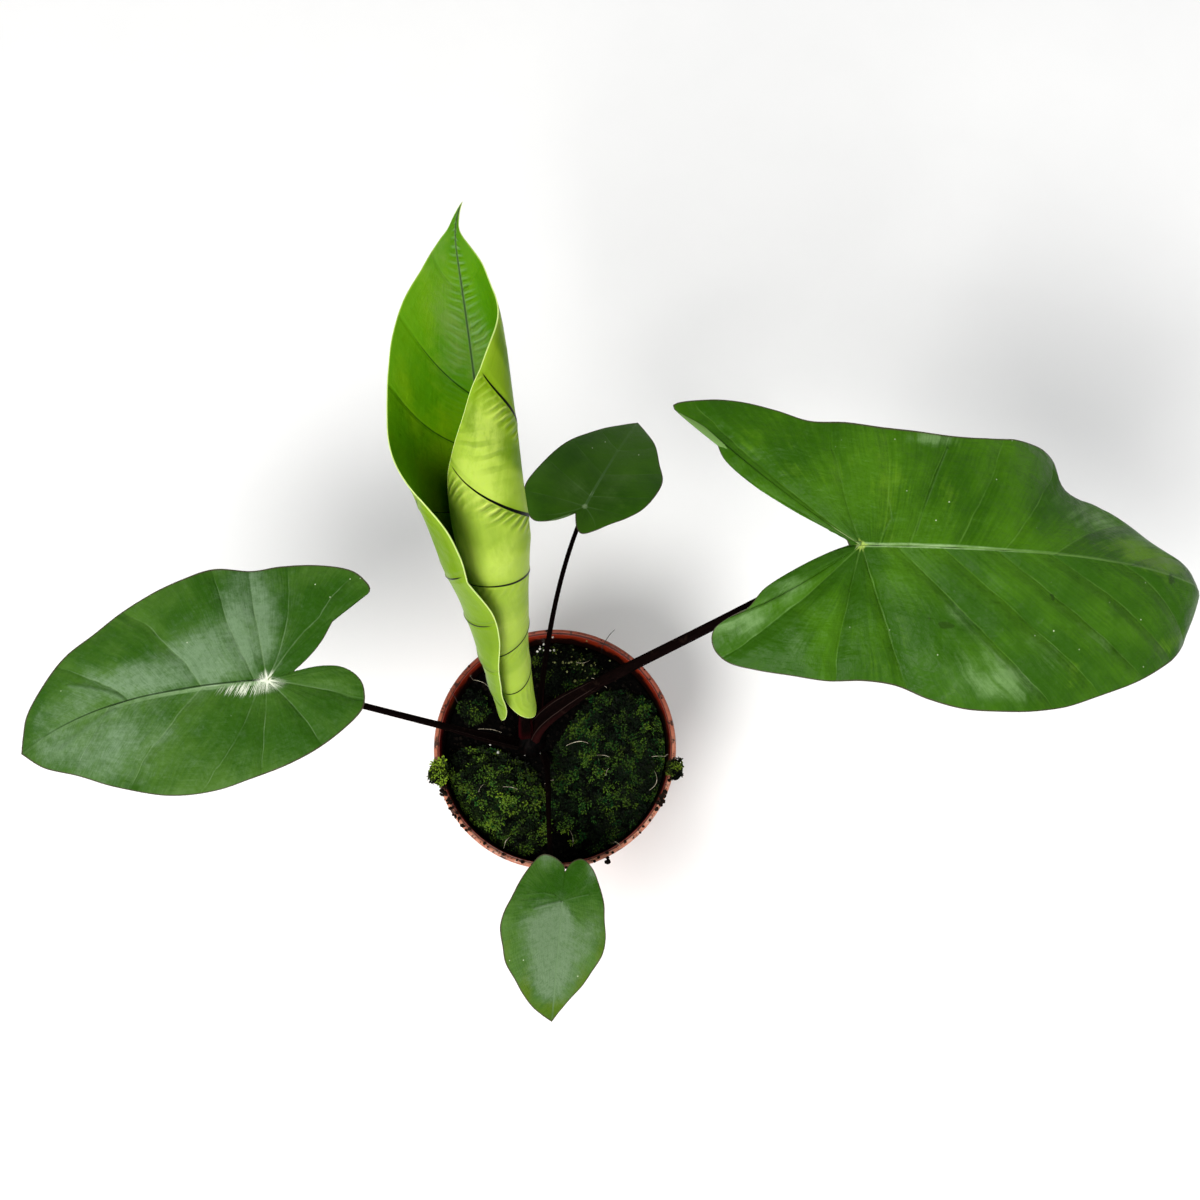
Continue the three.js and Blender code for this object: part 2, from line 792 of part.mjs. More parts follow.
function add(name, geometry, color, roughness) {
  geometry.computeVertexNormals();
  const material = new THREE.MeshStandardMaterial({ color, roughness, metalness: 0 });
  const mesh = new THREE.Mesh(geometry, material);
  mesh.name = name;
  group.add(mesh);
}

// Each petiole makes room for the stem base and for the petioles named before it.
const stemRoom = stemBase(GAP);
const rooms = [stemRoom];
for (const name of Object.keys(PETIOLES)) {
  add(`petiole_${name}`, subtract(petiole(name, 0), rooms), PETIOLE_COLOUR, 0.4);
  rooms.push(petiole(name, PETIOLE_ROOM));
}
add("stem_base", stemBase(0), 0x2a1712, 0.6);
add("soil", soil(rooms), 0x17110c, 0.95);
add("pot", pot(), 0xa0583c, 0.5);
for (const [name, cushion] of Object.entries(MOSS)) {
  add(name, mossCushion(cushion, rooms), MOSS_COLOUR, 0.9);
}
for (const [name, shape] of Object.entries(BLADES)) {
  add(`blade_${name}`, blade(name), shape.colour, 0.45);
}

export default group;
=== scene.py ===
import math

import bpy
import numpy as np
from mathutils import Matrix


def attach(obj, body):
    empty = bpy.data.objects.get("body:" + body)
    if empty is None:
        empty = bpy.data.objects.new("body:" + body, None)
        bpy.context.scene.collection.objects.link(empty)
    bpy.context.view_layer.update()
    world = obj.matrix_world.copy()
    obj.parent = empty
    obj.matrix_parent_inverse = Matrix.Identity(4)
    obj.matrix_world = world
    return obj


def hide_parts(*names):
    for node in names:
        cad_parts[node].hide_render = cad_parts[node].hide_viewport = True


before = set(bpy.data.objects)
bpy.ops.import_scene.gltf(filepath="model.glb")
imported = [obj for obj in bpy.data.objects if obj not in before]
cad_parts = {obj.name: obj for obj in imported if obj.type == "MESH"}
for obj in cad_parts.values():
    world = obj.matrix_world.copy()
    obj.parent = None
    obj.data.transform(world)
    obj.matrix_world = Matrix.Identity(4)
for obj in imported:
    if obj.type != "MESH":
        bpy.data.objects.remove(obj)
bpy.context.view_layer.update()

# Lengths in the tables are millimetres; meshes are made in metres.
MM = 0.001
RNG = np.random.default_rng(7)

# ---------------------------------------------------------------- sizes

POT_HEIGHT = 110.0
RIM_RADIUS = 60.0
RIM_WIDTH = 3.0
COLLAR_HEIGHT = 15.0
SHOULDER_RADIUS = 56.6
BASE_RADIUS = 43.0
POT_WALL = 1.4
BASE_THICKNESS = 1.6
DRAIN_HOLES = 6
DRAIN_RADIUS = 4.5
DRAIN_CIRCLE = 30.0
SOIL_LEVEL = 97.0
SOIL_BUMP = 0.7
GAP = 0.3
STEM_CENTRE = (-12.7, 5.2)
STEM_RADIUS = 9.2
STEM_FOOT = 70.0
STEM_TOP = 105.0

BLADE_THICKNESS = 0.9
EDGE_THICKNESS = 0.4
RIB_DEPTH = 1.3
MARGIN_TAPER = 4.0
RIB_HALF_WIDTH = 3.0
RIB_SHARE = 0.12  # the midrib's share of a row's width, at most
RIB_COLUMNS = 6
VEIN_RIDGE = 0.25
VEIN_HALF_WIDTH = 0.8
WIDEST_SPACING = 60.0  # of the side veins
PILLOW_WIDTH = 18.0
LUMPS = 0.22
FAR_FROM_RIB = 99.0
MIDRIB_STEP = 1.0
OUTLINE_STEPS = 400
CREASE_SHADE = 1.3

# A blade is drawn flat and then bent. u runs along the midrib from the junction with the
# petiole towards the tip, v outwards from the midrib. heading, pitch and roll are tables of
# (u, degrees), and span is how far the midrib's line is worked out. Within flat of it the
# blade doesn't curl. rows counts the rows of points ahead of the junction and in the lobes.
# Each side has a fold at the midrib, a curl (1/mm), the outline of its margin from the tip
# to the notch, and its side veins from the tip round: the u where one leaves the midrib (0
# at the junction), its middle and its end. A wave of the margin has a height, a count and a
# start. quilt is how far the blade stands up between the veins. bloom (the leaf's waxy grey
# bloom together with painted sheen), fresh, deep, stain and hairs are soft patches of
# colour: u, v (negative on the second side), half length along u and across, and strength.
# A crease has a strength, a width and a line of points; on the upper face it is painted as a
# highlight on its ridge with a painted shadow just behind it.
BLADES = {
    "right": {
        "junction": (126, 50, 300), "span": (-90, 200),
        "heading": [(0, -1), (90, -3), (160, -9)],
        "pitch": [(-80, 8), (0, 2), (60, -6), (110, -20), (145, -38), (163, -84)],
        "roll": [(0, 6)], "flat": 0, "rows": (120, 80), "columns": 40,
        "bloom": [(-30, -16, 12, 4, 0.5), (-45, -30, 9, 10, 0.65), (-27, -34, 7, 16, 0.6),
                  (52, -51, 24, 9, 0.75), (76, -42, 14, 10, 0.35), (28, 44, 10, 3, 0.7),
                  (104, 22, 26, 9, 0.5), (40, -30, 18, 12, 0.4), (-57, -30, 5, 8, 0.6),
                  (136, 18, 22, 8, 0.35), (102, -30, 14, 10, 0.3)],
        # the two fresh patches nearest the tip beside the midrib are painted light on the folded
        # tip, which faces away from the light
        "fresh": [(10, 22, 9, 24, 0.5), (-22, 30, 16, 9, 0.3), (36, 30, 8, 16, 0.3),
                  (92, -46, 6, 14, 0.45), (140, -26, 10, 8, 0.4), (-50, 44, 12, 6, 0.3),
                  (12, -40, 10, 14, 0.3), (118, 9, 16, 8, 1.0), (134, 7, 18, 7, 0.7)],
        "creases": [(0.6, 0.6, [(22, 6), (24, 14), (29, 26), (34, 40)]),
                    (0.6, 0.6, [(8, 4), (12, 11), (11, 18)])],
        "deep": [(60, 34, 26, 10, 0.4), (8, -30, 12, 14, 0.3), (120, -8, 20, 9, 0.3)],
        "stain": [(34, -31, 4.5, 2.2, 1.0), (78, -17, 1.5, 1.5, 1.0), (27, -29, 1.6, 1.0, 0.9),
                  (134, -1, 2, 3, 0.8), (69, 27, 1.5, 1.5, 0.8)],
        "sides": [
            {"fold": [(-80, 2), (50, 2), (62, -2), (74, -11), (86, -21), (98, -30),
                      (110, -34)],
             "curl": [(0, -0.003)],
             "waves": [(1.6, 4, 0.1)], "quilt": 0.8,
             "veins": [
                 (112, (130, 9), (150, 11)), (78, (103, 17), (123, 25)),
                 (57, (71, 20), (84, 46)), (38, (49, 24), (58, 47)), (19, (27, 24), (35, 46)),
                 (7, (11, 22), (9, 48)), (0, (-8, 26), (-11, 50)), (0, (-36, 29), (-66, 60))],
             "margin": [
                 (183, 0), (170, 4.5), (159, 8.5), (148, 12), (139, 15), (131, 19), (125, 24),
                 (118, 29), (111, 32), (103, 32.5), (94, 31), (88.5, 31.5), (85.5, 35),
                 (85, 40.5), (84, 45.5), (79, 48), (72, 48), (64, 47.5), (50, 46), (36, 46),
                 (22, 47), (8, 48), (-6, 50), (-20, 51), (-33, 56), (-47, 60), (-61, 61),
                 (-75, 58), (-60, 47), (-54, 35), (-43, 25), (-31, 18), (-19, 10), (-7, 3),
                 (-5, 0)]},
            {"fold": [(0, -2)], "curl": [(0, -0.004)], "waves": [(2, 4, 0.6)], "quilt": 2.1,
             "veins": [
                 (108, (128, 9), (155, 26)), (76, (104, 14), (145, 33)),
                 (54, (90, 23), (130, 43)), (32, (70, 29), (109, 54)),
                 (14, (49, 32), (87, 61)), (0, (8, 25), (20, 58)), (0, (-7, 30), (-10, 54)),
                 (0, (-30, 27), (-56, 46))],
             "margin": [
                 (183, 0), (175, 8), (165, 18), (154, 26), (141, 36), (126, 46), (109, 54),
                 (93, 60), (76, 63), (59, 64), (44, 64), (29, 61), (15, 56), (1, 54),
                 (-13, 54), (-27, 52), (-41, 50), (-53, 47), (-59, 41), (-59, 34), (-53, 29),
                 (-45, 25), (-38, 17), (-25, 9), (-13, 3), (-5, 0)]},
        ],
    },
    "left": {
        "junction": (-120, 9, 232), "span": (-60, 130),
        "heading": [(0, 184), (50, 190), (118, 212)],
        "pitch": [(-60, 6), (0, 0), (60, -8), (120, -25)],
        "roll": [(0, 0)], "flat": 0, "rows": (96, 72), "columns": 36,
        "bloom": [(6, -30, 13, 22, 0.9), (22, -14, 18, 12, 1.0), (48, -8, 22, 9, 0.8),
                  (82, -8, 20, 8, 0.45), (72, 17, 30, 15, 0.62), (98, 6, 14, 10, 0.35)],
        "fresh": [(52, -38, 22, 8, 0.4), (0, 20, 14, 10, 0.3), (96, -18, 14, 6, 0.3)],
        "deep": [(16, 20, 22, 16, 0.8), (38, -34, 12, 14, 0.7), (70, -27, 16, 9, 0.6),
                 (-26, 12, 14, 10, 0.5), (-30, -38, 12, 9, 0.5), (-14, 26, 16, 10, 0.6)],
        "hairs": [(8, 3, 12, 3, 1.0), (1, -1, 3, 3, 0.8), (-4, 1, 5, 2, 0.4)],
        "creases": [(0.8, 1.1, [(63, -1.5), (69, -6.5), (75, -10), (84, -15)]),
                    (0.7, 1.1, [(68, 2), (80, 5), (98, 9)]),
                    (0.5, 1.0, [(29, -2), (32, -12), (46, -26)])],
        "sides": [
            {"fold": [(0, 4)], "curl": [(0, -0.004)], "waves": [(1, 3, 0.2)], "quilt": 0.7,
             "veins": [
                 (70, (84, 12), (97, 21)), (28, (51, 21), (69, 37)), (3, (15, 25), (33, 44)),
                 (0, (2, 22), (4, 41)), (0, (-14, 16), (-22, 30)), (0, (-22, 5), (-41, 11))],
             "margin": [
                 (117, 0), (109, 12), (94, 23), (79, 33), (60, 41), (42, 45), (25, 45),
                 (10, 42), (-5, 38), (-19, 32), (-31, 24), (-40, 15), (-41, 6), (-38, 0),
                 (-32, -4), (-25, -5), (-18, -4.5), (-11, -3)]},
            {"fold": [(0, 4)], "curl": [(0, -0.004)], "waves": [(1.2, 4, 0.5)], "quilt": 0.8,
             "veins": [
                 (60, (72, 13), (87, 26)), (28, (42, 22), (58, 41)), (5, (14, 24), (21, 52)),
                 (0, (4, 26), (7, 50)), (0, (-9, 25), (-9, 51)), (0, (-19, 24), (-40, 46))],
             "margin": [
                 (117, 0), (112, 6), (106, 13), (94, 21), (82, 28), (70, 33), (58, 40),
                 (47, 45), (33, 49), (20, 52), (6, 50), (-6, 51), (-22, 50), (-37, 47),
                 (-44, 41), (-45, 37), (-41, 34), (-32, 29), (-24, 16), (-18, 9), (-11, 3)]},
        ],
    },
    "front": {
        "junction": (4.8, -78.5, 148), "span": (-40, 70),
        "heading": [(0, -95)], "pitch": [(-30, 14), (0, 0), (30, -12), (65, -34)],
        "roll": [(0, -14)], "flat": 0, "rows": (110, 80), "columns": 46,
        "bloom": [(11, -8, 9, 11, 0.8), (26, -1, 13, 13, 0.9), (7, 0, 7, 5, 0.8),
                  (39, -3, 8, 6, 0.6), (-16, 13, 6, 4, 0.4), (-20, -9, 5, 7, 0.5),
                  (12, 16, 10, 6, 0.3)],
        "fresh": [(53, 0, 8, 10, 1.8), (40, 13, 12, 4, 1.3), (22, 20, 12, 3, 0.8),
                  (43, -14, 12, 4, 1.1), (24, -24, 12, 3, 0.7)],
        "deep": [(-9, 0, 6, 4.5, 1.6), (-17, 6, 5, 4, 1.0), (-5, -6, 3, 6, 0.5)],
        "creases": [(0.9, 0.7, [(4.6, -13), (2.4, -7), (0.4, -1)]),
                    (0.5, 0.6, [(-1, 2), (-3, 7), (-4.5, 12)]),
                    (0.45, 0.5, [(-1.5, -17), (-3, -9), (-2.5, -4)]),
                    (0.4, 0.5, [(2, -20), (0.4, -12), (-0.8, -5)]),
                    (0.4, 0.6, [(5, 4), (9, 9), (13, 15)])],
        "sides": [
            {"fold": [(0, 6)], "curl": [(0, -0.006)], "waves": [(0.6, 3, 0)], "quilt": 0.08,
             "veins": [
                 (30, (36, 7), (40, 12)), (16, (22, 10), (28, 18)), (5, (12, 13), (17, 21)),
                 (0, (1, 11), (3, 20)), (0, (-9, 8), (-15, 14))],
             "margin": [
                 (56, 0), (51, 3), (44, 8), (38, 13), (31, 17), (23, 21), (15, 22), (7, 21),
                 (-1, 20), (-9, 17), (-17, 13), (-21, 8), (-19, 3), (-14, 0)]},
            {"fold": [(0, 6)], "curl": [(0, -0.006)], "waves": [(0.6, 3, 0.5)], "quilt": 0.08,
             "veins": [
                 (30, (36, 9), (41, 16)), (15, (22, 13), (29, 24)), (4, (11, 14), (17, 27)),
                 (0, (0, 13), (0, 24)), (0, (-9, 9), (-17, 14))],
             "margin": [
                 (56, 0), (49, 9), (42, 15), (36, 19), (29, 24), (22, 26), (14, 28), (7, 27),
                 (0, 24), (-7, 21), (-14, 17), (-20, 12), (-20, 6), (-17, 1), (-14, 0)]},
        ],
    },
    "back": {
        "junction": (15.4, 98, 195), "span": (-40, 80),
        "heading": [(0, 64)], "pitch": [(-20, 2), (0, -12), (30, -27), (65, -42)],
        "roll": [(0, -6)], "flat": 0, "rows": (64, 48), "columns": 26,
        "bloom": [(8, 8, 10, 8, 0.5), (16, -8, 14, 6, 0.4)],
        "fresh": [(34, -12, 16, 7, 0.4), (10, -14, 8, 6, 0.3)],
        "deep": [(30, 16, 20, 8, 0.6), (-6, 20, 9, 9, 0.5)],
        "sides": [
            {"fold": [(0, 4)], "curl": [(0, -0.006)], "waves": [(0.8, 3, 0.2)], "quilt": 0.4,
             "veins": [
                 (38, (44, 9), (50, 13)), (20, (27, 13), (34, 22)), (6, (12, 16), (18, 28)),
                 (0, (-2, 16), (-4, 29)), (0, (-9, 10), (-14, 22))],
             "margin": [
                 (66, 0), (58, 6), (50, 13), (40, 19), (30, 24), (19, 28), (8, 30), (-2, 30),
                 (-11, 26), (-16, 19), (-14, 13), (-9, 7), (-5, 2.5)]},
            {"fold": [(0, 4)], "curl": [(0, -0.006)], "waves": [(0.8, 3, 0.7)], "quilt": 0.4,
             "veins": [
                 (38, (44, 10), (51, 14)), (20, (27, 14), (35, 24)), (6, (12, 15), (18, 27)),
                 (0, (2, 12), (4, 21)), (0, (-6, 8), (-10, 9))],
             "margin": [
                 (66, 0), (60, 6), (51, 14), (41, 20), (31, 26), (21, 27), (11, 25), (3, 20),
                 (-3, 15), (-9, 10), (-13, 5), (-11, 1), (-5, -2.5)]},
        ],
    },
    "new": {
        "junction": (-18.9, 37.5, 257), "span": (-90, 200),
        "heading": [(-74, 100.7), (0, 96.2), (90, 94.8), (160, 98), (168, 93), (176, 73),
                    (184, 48)],
        "pitch": [(-74, 70), (0, 62.3), (90, 51.8), (179, 44.2)],
        "roll": [(0, 0)], "flat": 1.2, "rows": (140, 90), "columns": 50,
        "bloom": [(133, 6, 22, 7, 0.7), (122, -5, 18, 5, 0.7), (165, 7, 8, 4, 0.3),
                  (108, -40, 12, 7, 0.8), (84, -48, 16, 9, 0.9), (50, -44, 10, 8, 0.7),
                  (10, -34, 14, 6, 0.5)],
        # the fresh patches at u 60 and 94 are painted light in the shaded inside of the rolled leaf
        "fresh": [(160, 4, 12, 12, 0.4), (136, 14, 20, 5, 0.6), (118, 28, 24, 4, 0.8),
                  (108, 42, 14, 6, 0.3),
                  (60, 18, 30, 16, 1.0), (94, 12, 16, 8, 0.6)],
        # the first deep patch, beside the midrib on the second side near the tip, is painted shade
        # next to the roll
        "deep": [(142, -9, 24, 5, 1.0), (60, -26, 40, 8, 0.1), (-20, -30, 30, 8, 0.1),
                 (110, -18, 20, 5, 0.3), (116, -25, 18, 8, 0.5)],
        "sides": [
            {"fold": [(0, 5)],
             "curl": [(-74, 0.1127), (-30, 0.095), (10, 0.0692), (50, 0.0476), (90, 0.0351),
                      (130, 0.0174), (178, 0.0093)],
             "waves": [(0.8, 4, 0.1)], "quilt": 0.5,
             "veins": [
                 (148, (156, 6), (166, 9)), (105, (121, 13), (146, 25)),
                 (80, (97, 20), (122, 35)), (50, (64, 26), (92, 60)), (24, (38, 28), (55, 56)),
                 (4, (12, 24), (19, 47)), (0, (-15, 18), (-18, 32)), (0, (-34, 14), (-49, 26))],
             "margin": [
                 (183, 0), (177, 1.3), (172, 3), (168, 6.5), (160, 13.5), (150, 22),
                 (138, 28.5), (126, 33), (112, 40.5), (98, 54.5), (84, 64), (66, 61),
                 (46, 53.5), (26, 49), (8, 43), (-14, 33.5), (-36, 27.5), (-50, 26),
                 (-60, 23), (-67, 18), (-70, 12), (-64, 8), (-50, 6), (-36, 4), (-20, 3),
                 (-7, 0)]},
            {"fold": [(0, 5)],
             "curl": [(-74, 0.1487), (-30, 0.1294), (10, 0.0898), (50, 0.0644), (90, 0.0687),
                      (130, 0.075), (178, 0.0998)],
             "waves": [], "quilt": 0.4,
             "veins": [
                 (148, (154, 5), (160, 9)), (112, (128, 16), (148, 18)),
                 (72, (107, 26), (130, 39)), (38, (72, 37), (93, 58)), (20, (36, 34), (33, 57)),
                 (0, (-5, 21), (-22, 37)), (0, (-32, 13), (-46, 32))],
             "margin": [
                 (183, 0), (177, 0.7), (172, 1.5), (167, 4.5), (160, 9.5), (152, 13.5),
                 (146, 20.5), (138, 31.5), (126, 41.5), (112, 48.5), (98, 55.5), (82, 62.5),
                 (64, 64.5), (44, 61), (24, 53.5), (4, 45), (-18, 38), (-38, 33.5),
                 (-50, 30), (-60, 25), (-68, 19), (-71, 14), (-64, 10), (-50, 7), (-36, 4),
                 (-20, 3), (-7, 0)]},
        ],
    },
}

WINE = (0.04, 0.003, 0.005)
RED_BROWN = (0.024, 0.005, 0.005)
BLACK_BROWN = (0.008, 0.005, 0.004)
# painted highlights along the sheath's lips, a paler and a fainter one
LIP_HIGHLIGHT = (0.14, 0.09, 0.075)
FAINT_LIP_HIGHLIGHT = (0.05, 0.035, 0.03)

# Petioles: three points of a cubic curve (its end is at the blade), half width and depth at
# the foot and at the top, how far up the sheath reaches, the width of its wings, the depth
# of the channel between them, the colour of the foot, and the colour of the painted highlight
# along the lips.
PETIOLES = {
    "right": {"curve": [(-11, 5, 88), (-14.7, 16.4, 140), (46.4, 12.7, 250)],
              "foot": (3.9, 3.4), "top": (1.9, 1.8), "sheath": 0.48, "wing": 1.8,
              "channel": 0.45, "foot_colour": RED_BROWN, "lip_highlight": LIP_HIGHLIGHT},
    "new": {"curve": [(-15.5, 6, 86), (-12, 8, 140), (-14, 29, 205)],
            "foot": (3.4, 3.2), "top": (2.4, 2.2), "sheath": 0.3, "wing": 0.6,
            "channel": 0.15, "foot_colour": WINE, "lip_highlight": WINE},
    "left": {"curve": [(-16, 5, 84), (-24.5, -0.5, 130), (-49, -4.8, 200)],
             "foot": (2.6, 2.3), "top": (1.3, 1.3), "sheath": 0.53, "wing": 0.9,
             "channel": 0.35, "foot_colour": BLACK_BROWN, "lip_highlight": FAINT_LIP_HIGHLIGHT},
    "back": {"curve": [(-11, 8, 86), (-5.4, 20.3, 125), (-4.2, 56.4, 172)],
             "foot": (1.8, 1.6), "top": (1, 1), "sheath": 0.3, "wing": 0.6, "channel": 0.2,
             "foot_colour": RED_BROWN, "lip_highlight": FAINT_LIP_HIGHLIGHT},
    "front": {"curve": [(-10, 2, 86), (2.7, -3.3, 118), (-7.4, -46.8, 140)],
              "foot": (1.8, 1.6), "top": (1, 1), "sheath": 0.3, "wing": 0.6, "channel": 0.2,
              "foot_colour": BLACK_BROWN, "lip_highlight": FAINT_LIP_HIGHLIGHT},
}

# Cushions of moss: centre, how far each reaches in eight directions anticlockwise from +X,
# height, how many shoots and how wide, tone (0 for blue-green, 1 for yellow-green) and
# vigour, which is how bright the shoots are.
MOSS = {
    "moss_front_left": {"centre": (-28, -26), "reach": (23, 23, 25, 33, 27, 27, 29, 31),
                        "height": 10, "shoots": 1100, "size": 3.3, "tone": 0.32,
                        "vigour": 0.85},
    "moss_right": {"centre": (31, -8), "reach": (27, 35, 38, 32, 33, 42, 44, 34),
                   "height": 8.5, "shoots": 1800, "size": 3.3, "tone": 0.16, "vigour": 0.6},
    "moss_back": {"centre": (10, 37), "reach": (13, 14, 16, 24, 19, 13, 10, 12),
                  "height": 4, "shoots": 280, "size": 3.0, "tone": 0.3, "vigour": 0.36},
    "moss_back_left": {"centre": (-42, 21), "reach": (8, 9, 11, 9, 7, 6, 7, 8),
                       "height": 4.5, "shoots": 130, "size": 3.0, "tone": 0.2,
                       "vigour": 0.36},
    "moss_rim_left": {"centre": (-57.5, -13), "reach": (4, 4, 6, 6, 5, 6, 7, 5),
                      "height": 3, "shoots": 36, "size": 3.6, "tone": 0.85, "vigour": 0.95},
    "moss_rim_right": {"centre": (59, -11), "reach": (5, 5, 6, 4, 4, 4, 7, 6),
                       "height": 3, "shoots": 24, "size": 3.2, "tone": 0.7, "vigour": 0.4},
}
MOSS_EDGE = 1.4
MOSS_SHADE = 20.0  # how far from the stem the moss is in its shade
RIM_MOSS_FROM = 50.0  # how far from the middle a cushion's centre lies on the rim
SHOOT_KINDS = 24
LITTER_REACH = 53.5
WING_TAPER = 3.0

# Round a petiole (degrees): where its sheath opens, how wide, and where the lips are.
OPENING_AT = 90.0
OPENING_WIDTH = 26.0
LIPS_AT = (56.0, 124.0)
LIP_WIDTH = 4.0

# ---------------------------------------------------------------- camera, light and floor

CAMERA_AT = (22.4, -138.9, 967.7)
CAMERA_TILT = 14.0  # degrees from straight down
CAMERA_LENS = 52.5
CAMERA_SENSOR = 36.0
FLOOR_HALF = 4.0  # m

# Strength of the white surround at its sides and overhead, and the sines of the elevations
# between which it darkens.
DOME_SIDES = 0.66
DOME_TOP = 0.12
DOME_BRIGHT_TO = 0.62
DOME_DARK_FROM = 0.9
DOME_COLOUR = (0.98, 0.99, 1.0, 1)

# Each light's place and target (m), size (m), power (W) and colour.
LIGHTS = {
    "key": ((-0.52, -0.9, 1.75), (0.02, 0.03, 0.15), 0.85, 38, (1, 0.985, 0.96)),
    "fill": ((0.3, -1.3, 1.3), (0, 0, 0.2), 1.2, 4, (0.97, 0.98, 1)),
    "side": ((1.3, 0.7, 1.1), (0.2, 0.05, 0.2), 1.2, 3, (0.98, 0.99, 1)),
}


def area_light(name, place, target, size, power, colour):
    """A round light at place that shines at target."""
    data = bpy.data.lights.new(name, "AREA")
    data.shape = "DISK"
    data.size = size
    data.energy = power
    data.color = colour
    light = bpy.data.objects.new(name, data)
    light.location = place
    away = light.location - type(light.location)(target)
    light.rotation_euler = away.to_track_quat("Z", "Y").to_euler()
    bpy.context.collection.objects.link(light)


def dome():
    """A white surround that is darker straight overhead, like a studio's ceiling."""
    world = bpy.data.worlds.new("studio")
    world.use_nodes = True
    tree = world.node_tree
    direction = tree.nodes.new("ShaderNodeTexCoord")
    parts = tree.nodes.new("ShaderNodeSeparateXYZ")
    fall = tree.nodes.new("ShaderNodeMapRange")
    fall.interpolation_type = "SMOOTHSTEP"
    tree.links.new(direction.outputs["Generated"], parts.inputs[0])
    tree.links.new(parts.outputs["Z"], fall.inputs["Value"])
    for key, value in (("From Min", DOME_BRIGHT_TO), ("From Max", DOME_DARK_FROM),
                       ("To Min", DOME_SIDES), ("To Max", DOME_TOP)):
        fall.inputs[key].default_value = value
    background = tree.nodes["Background"]
    background.inputs["Color"].default_value = DOME_COLOUR
    tree.links.new(fall.outputs["Result"], background.inputs["Strength"])
    return world


def studio():
    """Sets up the camera, the surround, the lights and the floor."""
    camera_data = bpy.data.cameras.new("camera")
    camera_data.lens = CAMERA_LENS
    camera_data.sensor_width = CAMERA_SENSOR
    camera = bpy.data.objects.new("camera", camera_data)
    camera.location = [x * MM for x in CAMERA_AT]
    camera.rotation_euler = (math.radians(CAMERA_TILT), 0, 0)
    bpy.context.collection.objects.link(camera)
    scene = bpy.context.scene
    scene.camera = camera
    scene.view_settings.view_transform = "Standard"
    scene.world = dome()
    for name, light in LIGHTS.items():
        area_light(name, *light)
    corners = [(x * FLOOR_HALF, y * FLOOR_HALF, 0) for x, y in ((-1, -1), (1, -1), (1, 1), (-1, 1))]
    floor = mesh_object("floor", corners, [(0, 1, 2, 3)], [floor_material()])


# ---------------------------------------------------------------- mesh helpers


def mesh_object(name, points, faces, materials, slots=None, smooth=True, values=None):
    """A mesh object. slots gives each face's material and values its point attributes."""
    mesh = bpy.data.meshes.new(name)
    mesh.from_pydata([tuple(p) for p in points], [], [tuple(int(i) for i in f) for f in faces])
    for material in materials:
        mesh.materials.append(material)
    if slots is not None:
        mesh.polygons.foreach_set("material_index", np.asarray(slots, dtype=np.int32))
    mesh.polygons.foreach_set("use_smooth", np.full(len(mesh.polygons), smooth))
    for key, data in (values or {}).items():
        layer = mesh.attributes.new(key, "FLOAT", "POINT")
        layer.data.foreach_set("value", np.asarray(data, dtype=np.float32))
    mesh.update()
    obj = bpy.data.objects.new(name, mesh)
    bpy.context.collection.objects.link(obj)
    return obj


def finish_piece(obj, slot, *nodes):
    """Hides the CAD nodes that the piece takes the place of, and fixes it to the plant's one body.
    """
    if nodes:
        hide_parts(*nodes)
    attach(obj, "root")


def grid_faces(rows, columns, start=0, closed=False):
    """Quads of a grid of points, row by row; closed joins each row's end to its start."""
    faces = []
    wide = columns if closed else columns - 1
    for i in range(rows - 1):
        for j in range(wide):
            k = (j + 1) % columns
            a, b = start + i * columns, start + (i + 1) * columns
            faces.append((a + j, a + k, b + k, b + j))
    return faces


def tube_faces(rings, sides, start=0, turned=False):
    """Faces of a stack of rings with a cap at each end; turned makes them face the other way."""
    last = start + (rings - 1) * sides
    faces = grid_faces(rings, sides, start, closed=True)
    faces.append(tuple(range(start, start + sides))[::-1])
    faces.append(tuple(range(last, last + sides)))
    return [f[::-1] for f in faces] if turned else faces


def directions(sides, turn=0.0):
    """Angles at even steps all the way round, turned by a share of a step."""
    return 2 * np.pi * (np.arange(sides) + turn) / sides


def look_up(table, x):
    """The value at x of a table of (x, value)."""
    xs, ys = zip(*table)
    return np.interp(x, xs, ys)


def between(a, b, c, d, w):
    """A smooth curve's value at share w of the way from b to c, with a before and d after."""
    v0, v1 = (c - a) / 2, (d - b) / 2
    cubic = (2 * b - 2 * c + v0 + v1) * w**3 + (3 * c - 3 * b - 2 * v0 - v1) * w**2
    return cubic + v0 * w + b


# ---------------------------------------------------------------- material helpers


class Value:
    """What a material works out at each point: a number, a place or a colour."""

    def __init__(self, nodes, socket):
        self.nodes = nodes
        self.socket = socket

    def __add__(self, other):
        return self.nodes.math("ADD", self, other)

    def __sub__(self, other):
        return self.nodes.math("SUBTRACT", self, other)

    def __rsub__(self, other):
        return self.nodes.math("SUBTRACT", other, self)

    def __mul__(self, other):
        return self.nodes.math("MULTIPLY", self, other)

    def __truediv__(self, other):
        return self.nodes.math("DIVIDE", self, other)

    def __abs__(self):
        return self.nodes.math("ABSOLUTE", self)

    def fraction(self):
        return self.nodes.math("FRACT", self)

    def sine(self):
        return self.nodes.math("SINE", self)

    def or_more(self, other):
        return self.nodes.math("MAXIMUM", self, other)

    def ramp(self, low, high, start=0.0, end=1.0):
        """Runs smoothly from start to end as the value goes from low to high."""
        inputs = {"Value": self, "From Min": low, "From Max": high, "To Min": start, "To Max": end}
        return self.nodes.put("ShaderNodeMapRange", "Result", inputs,
                              interpolation_type="SMOOTHSTEP")


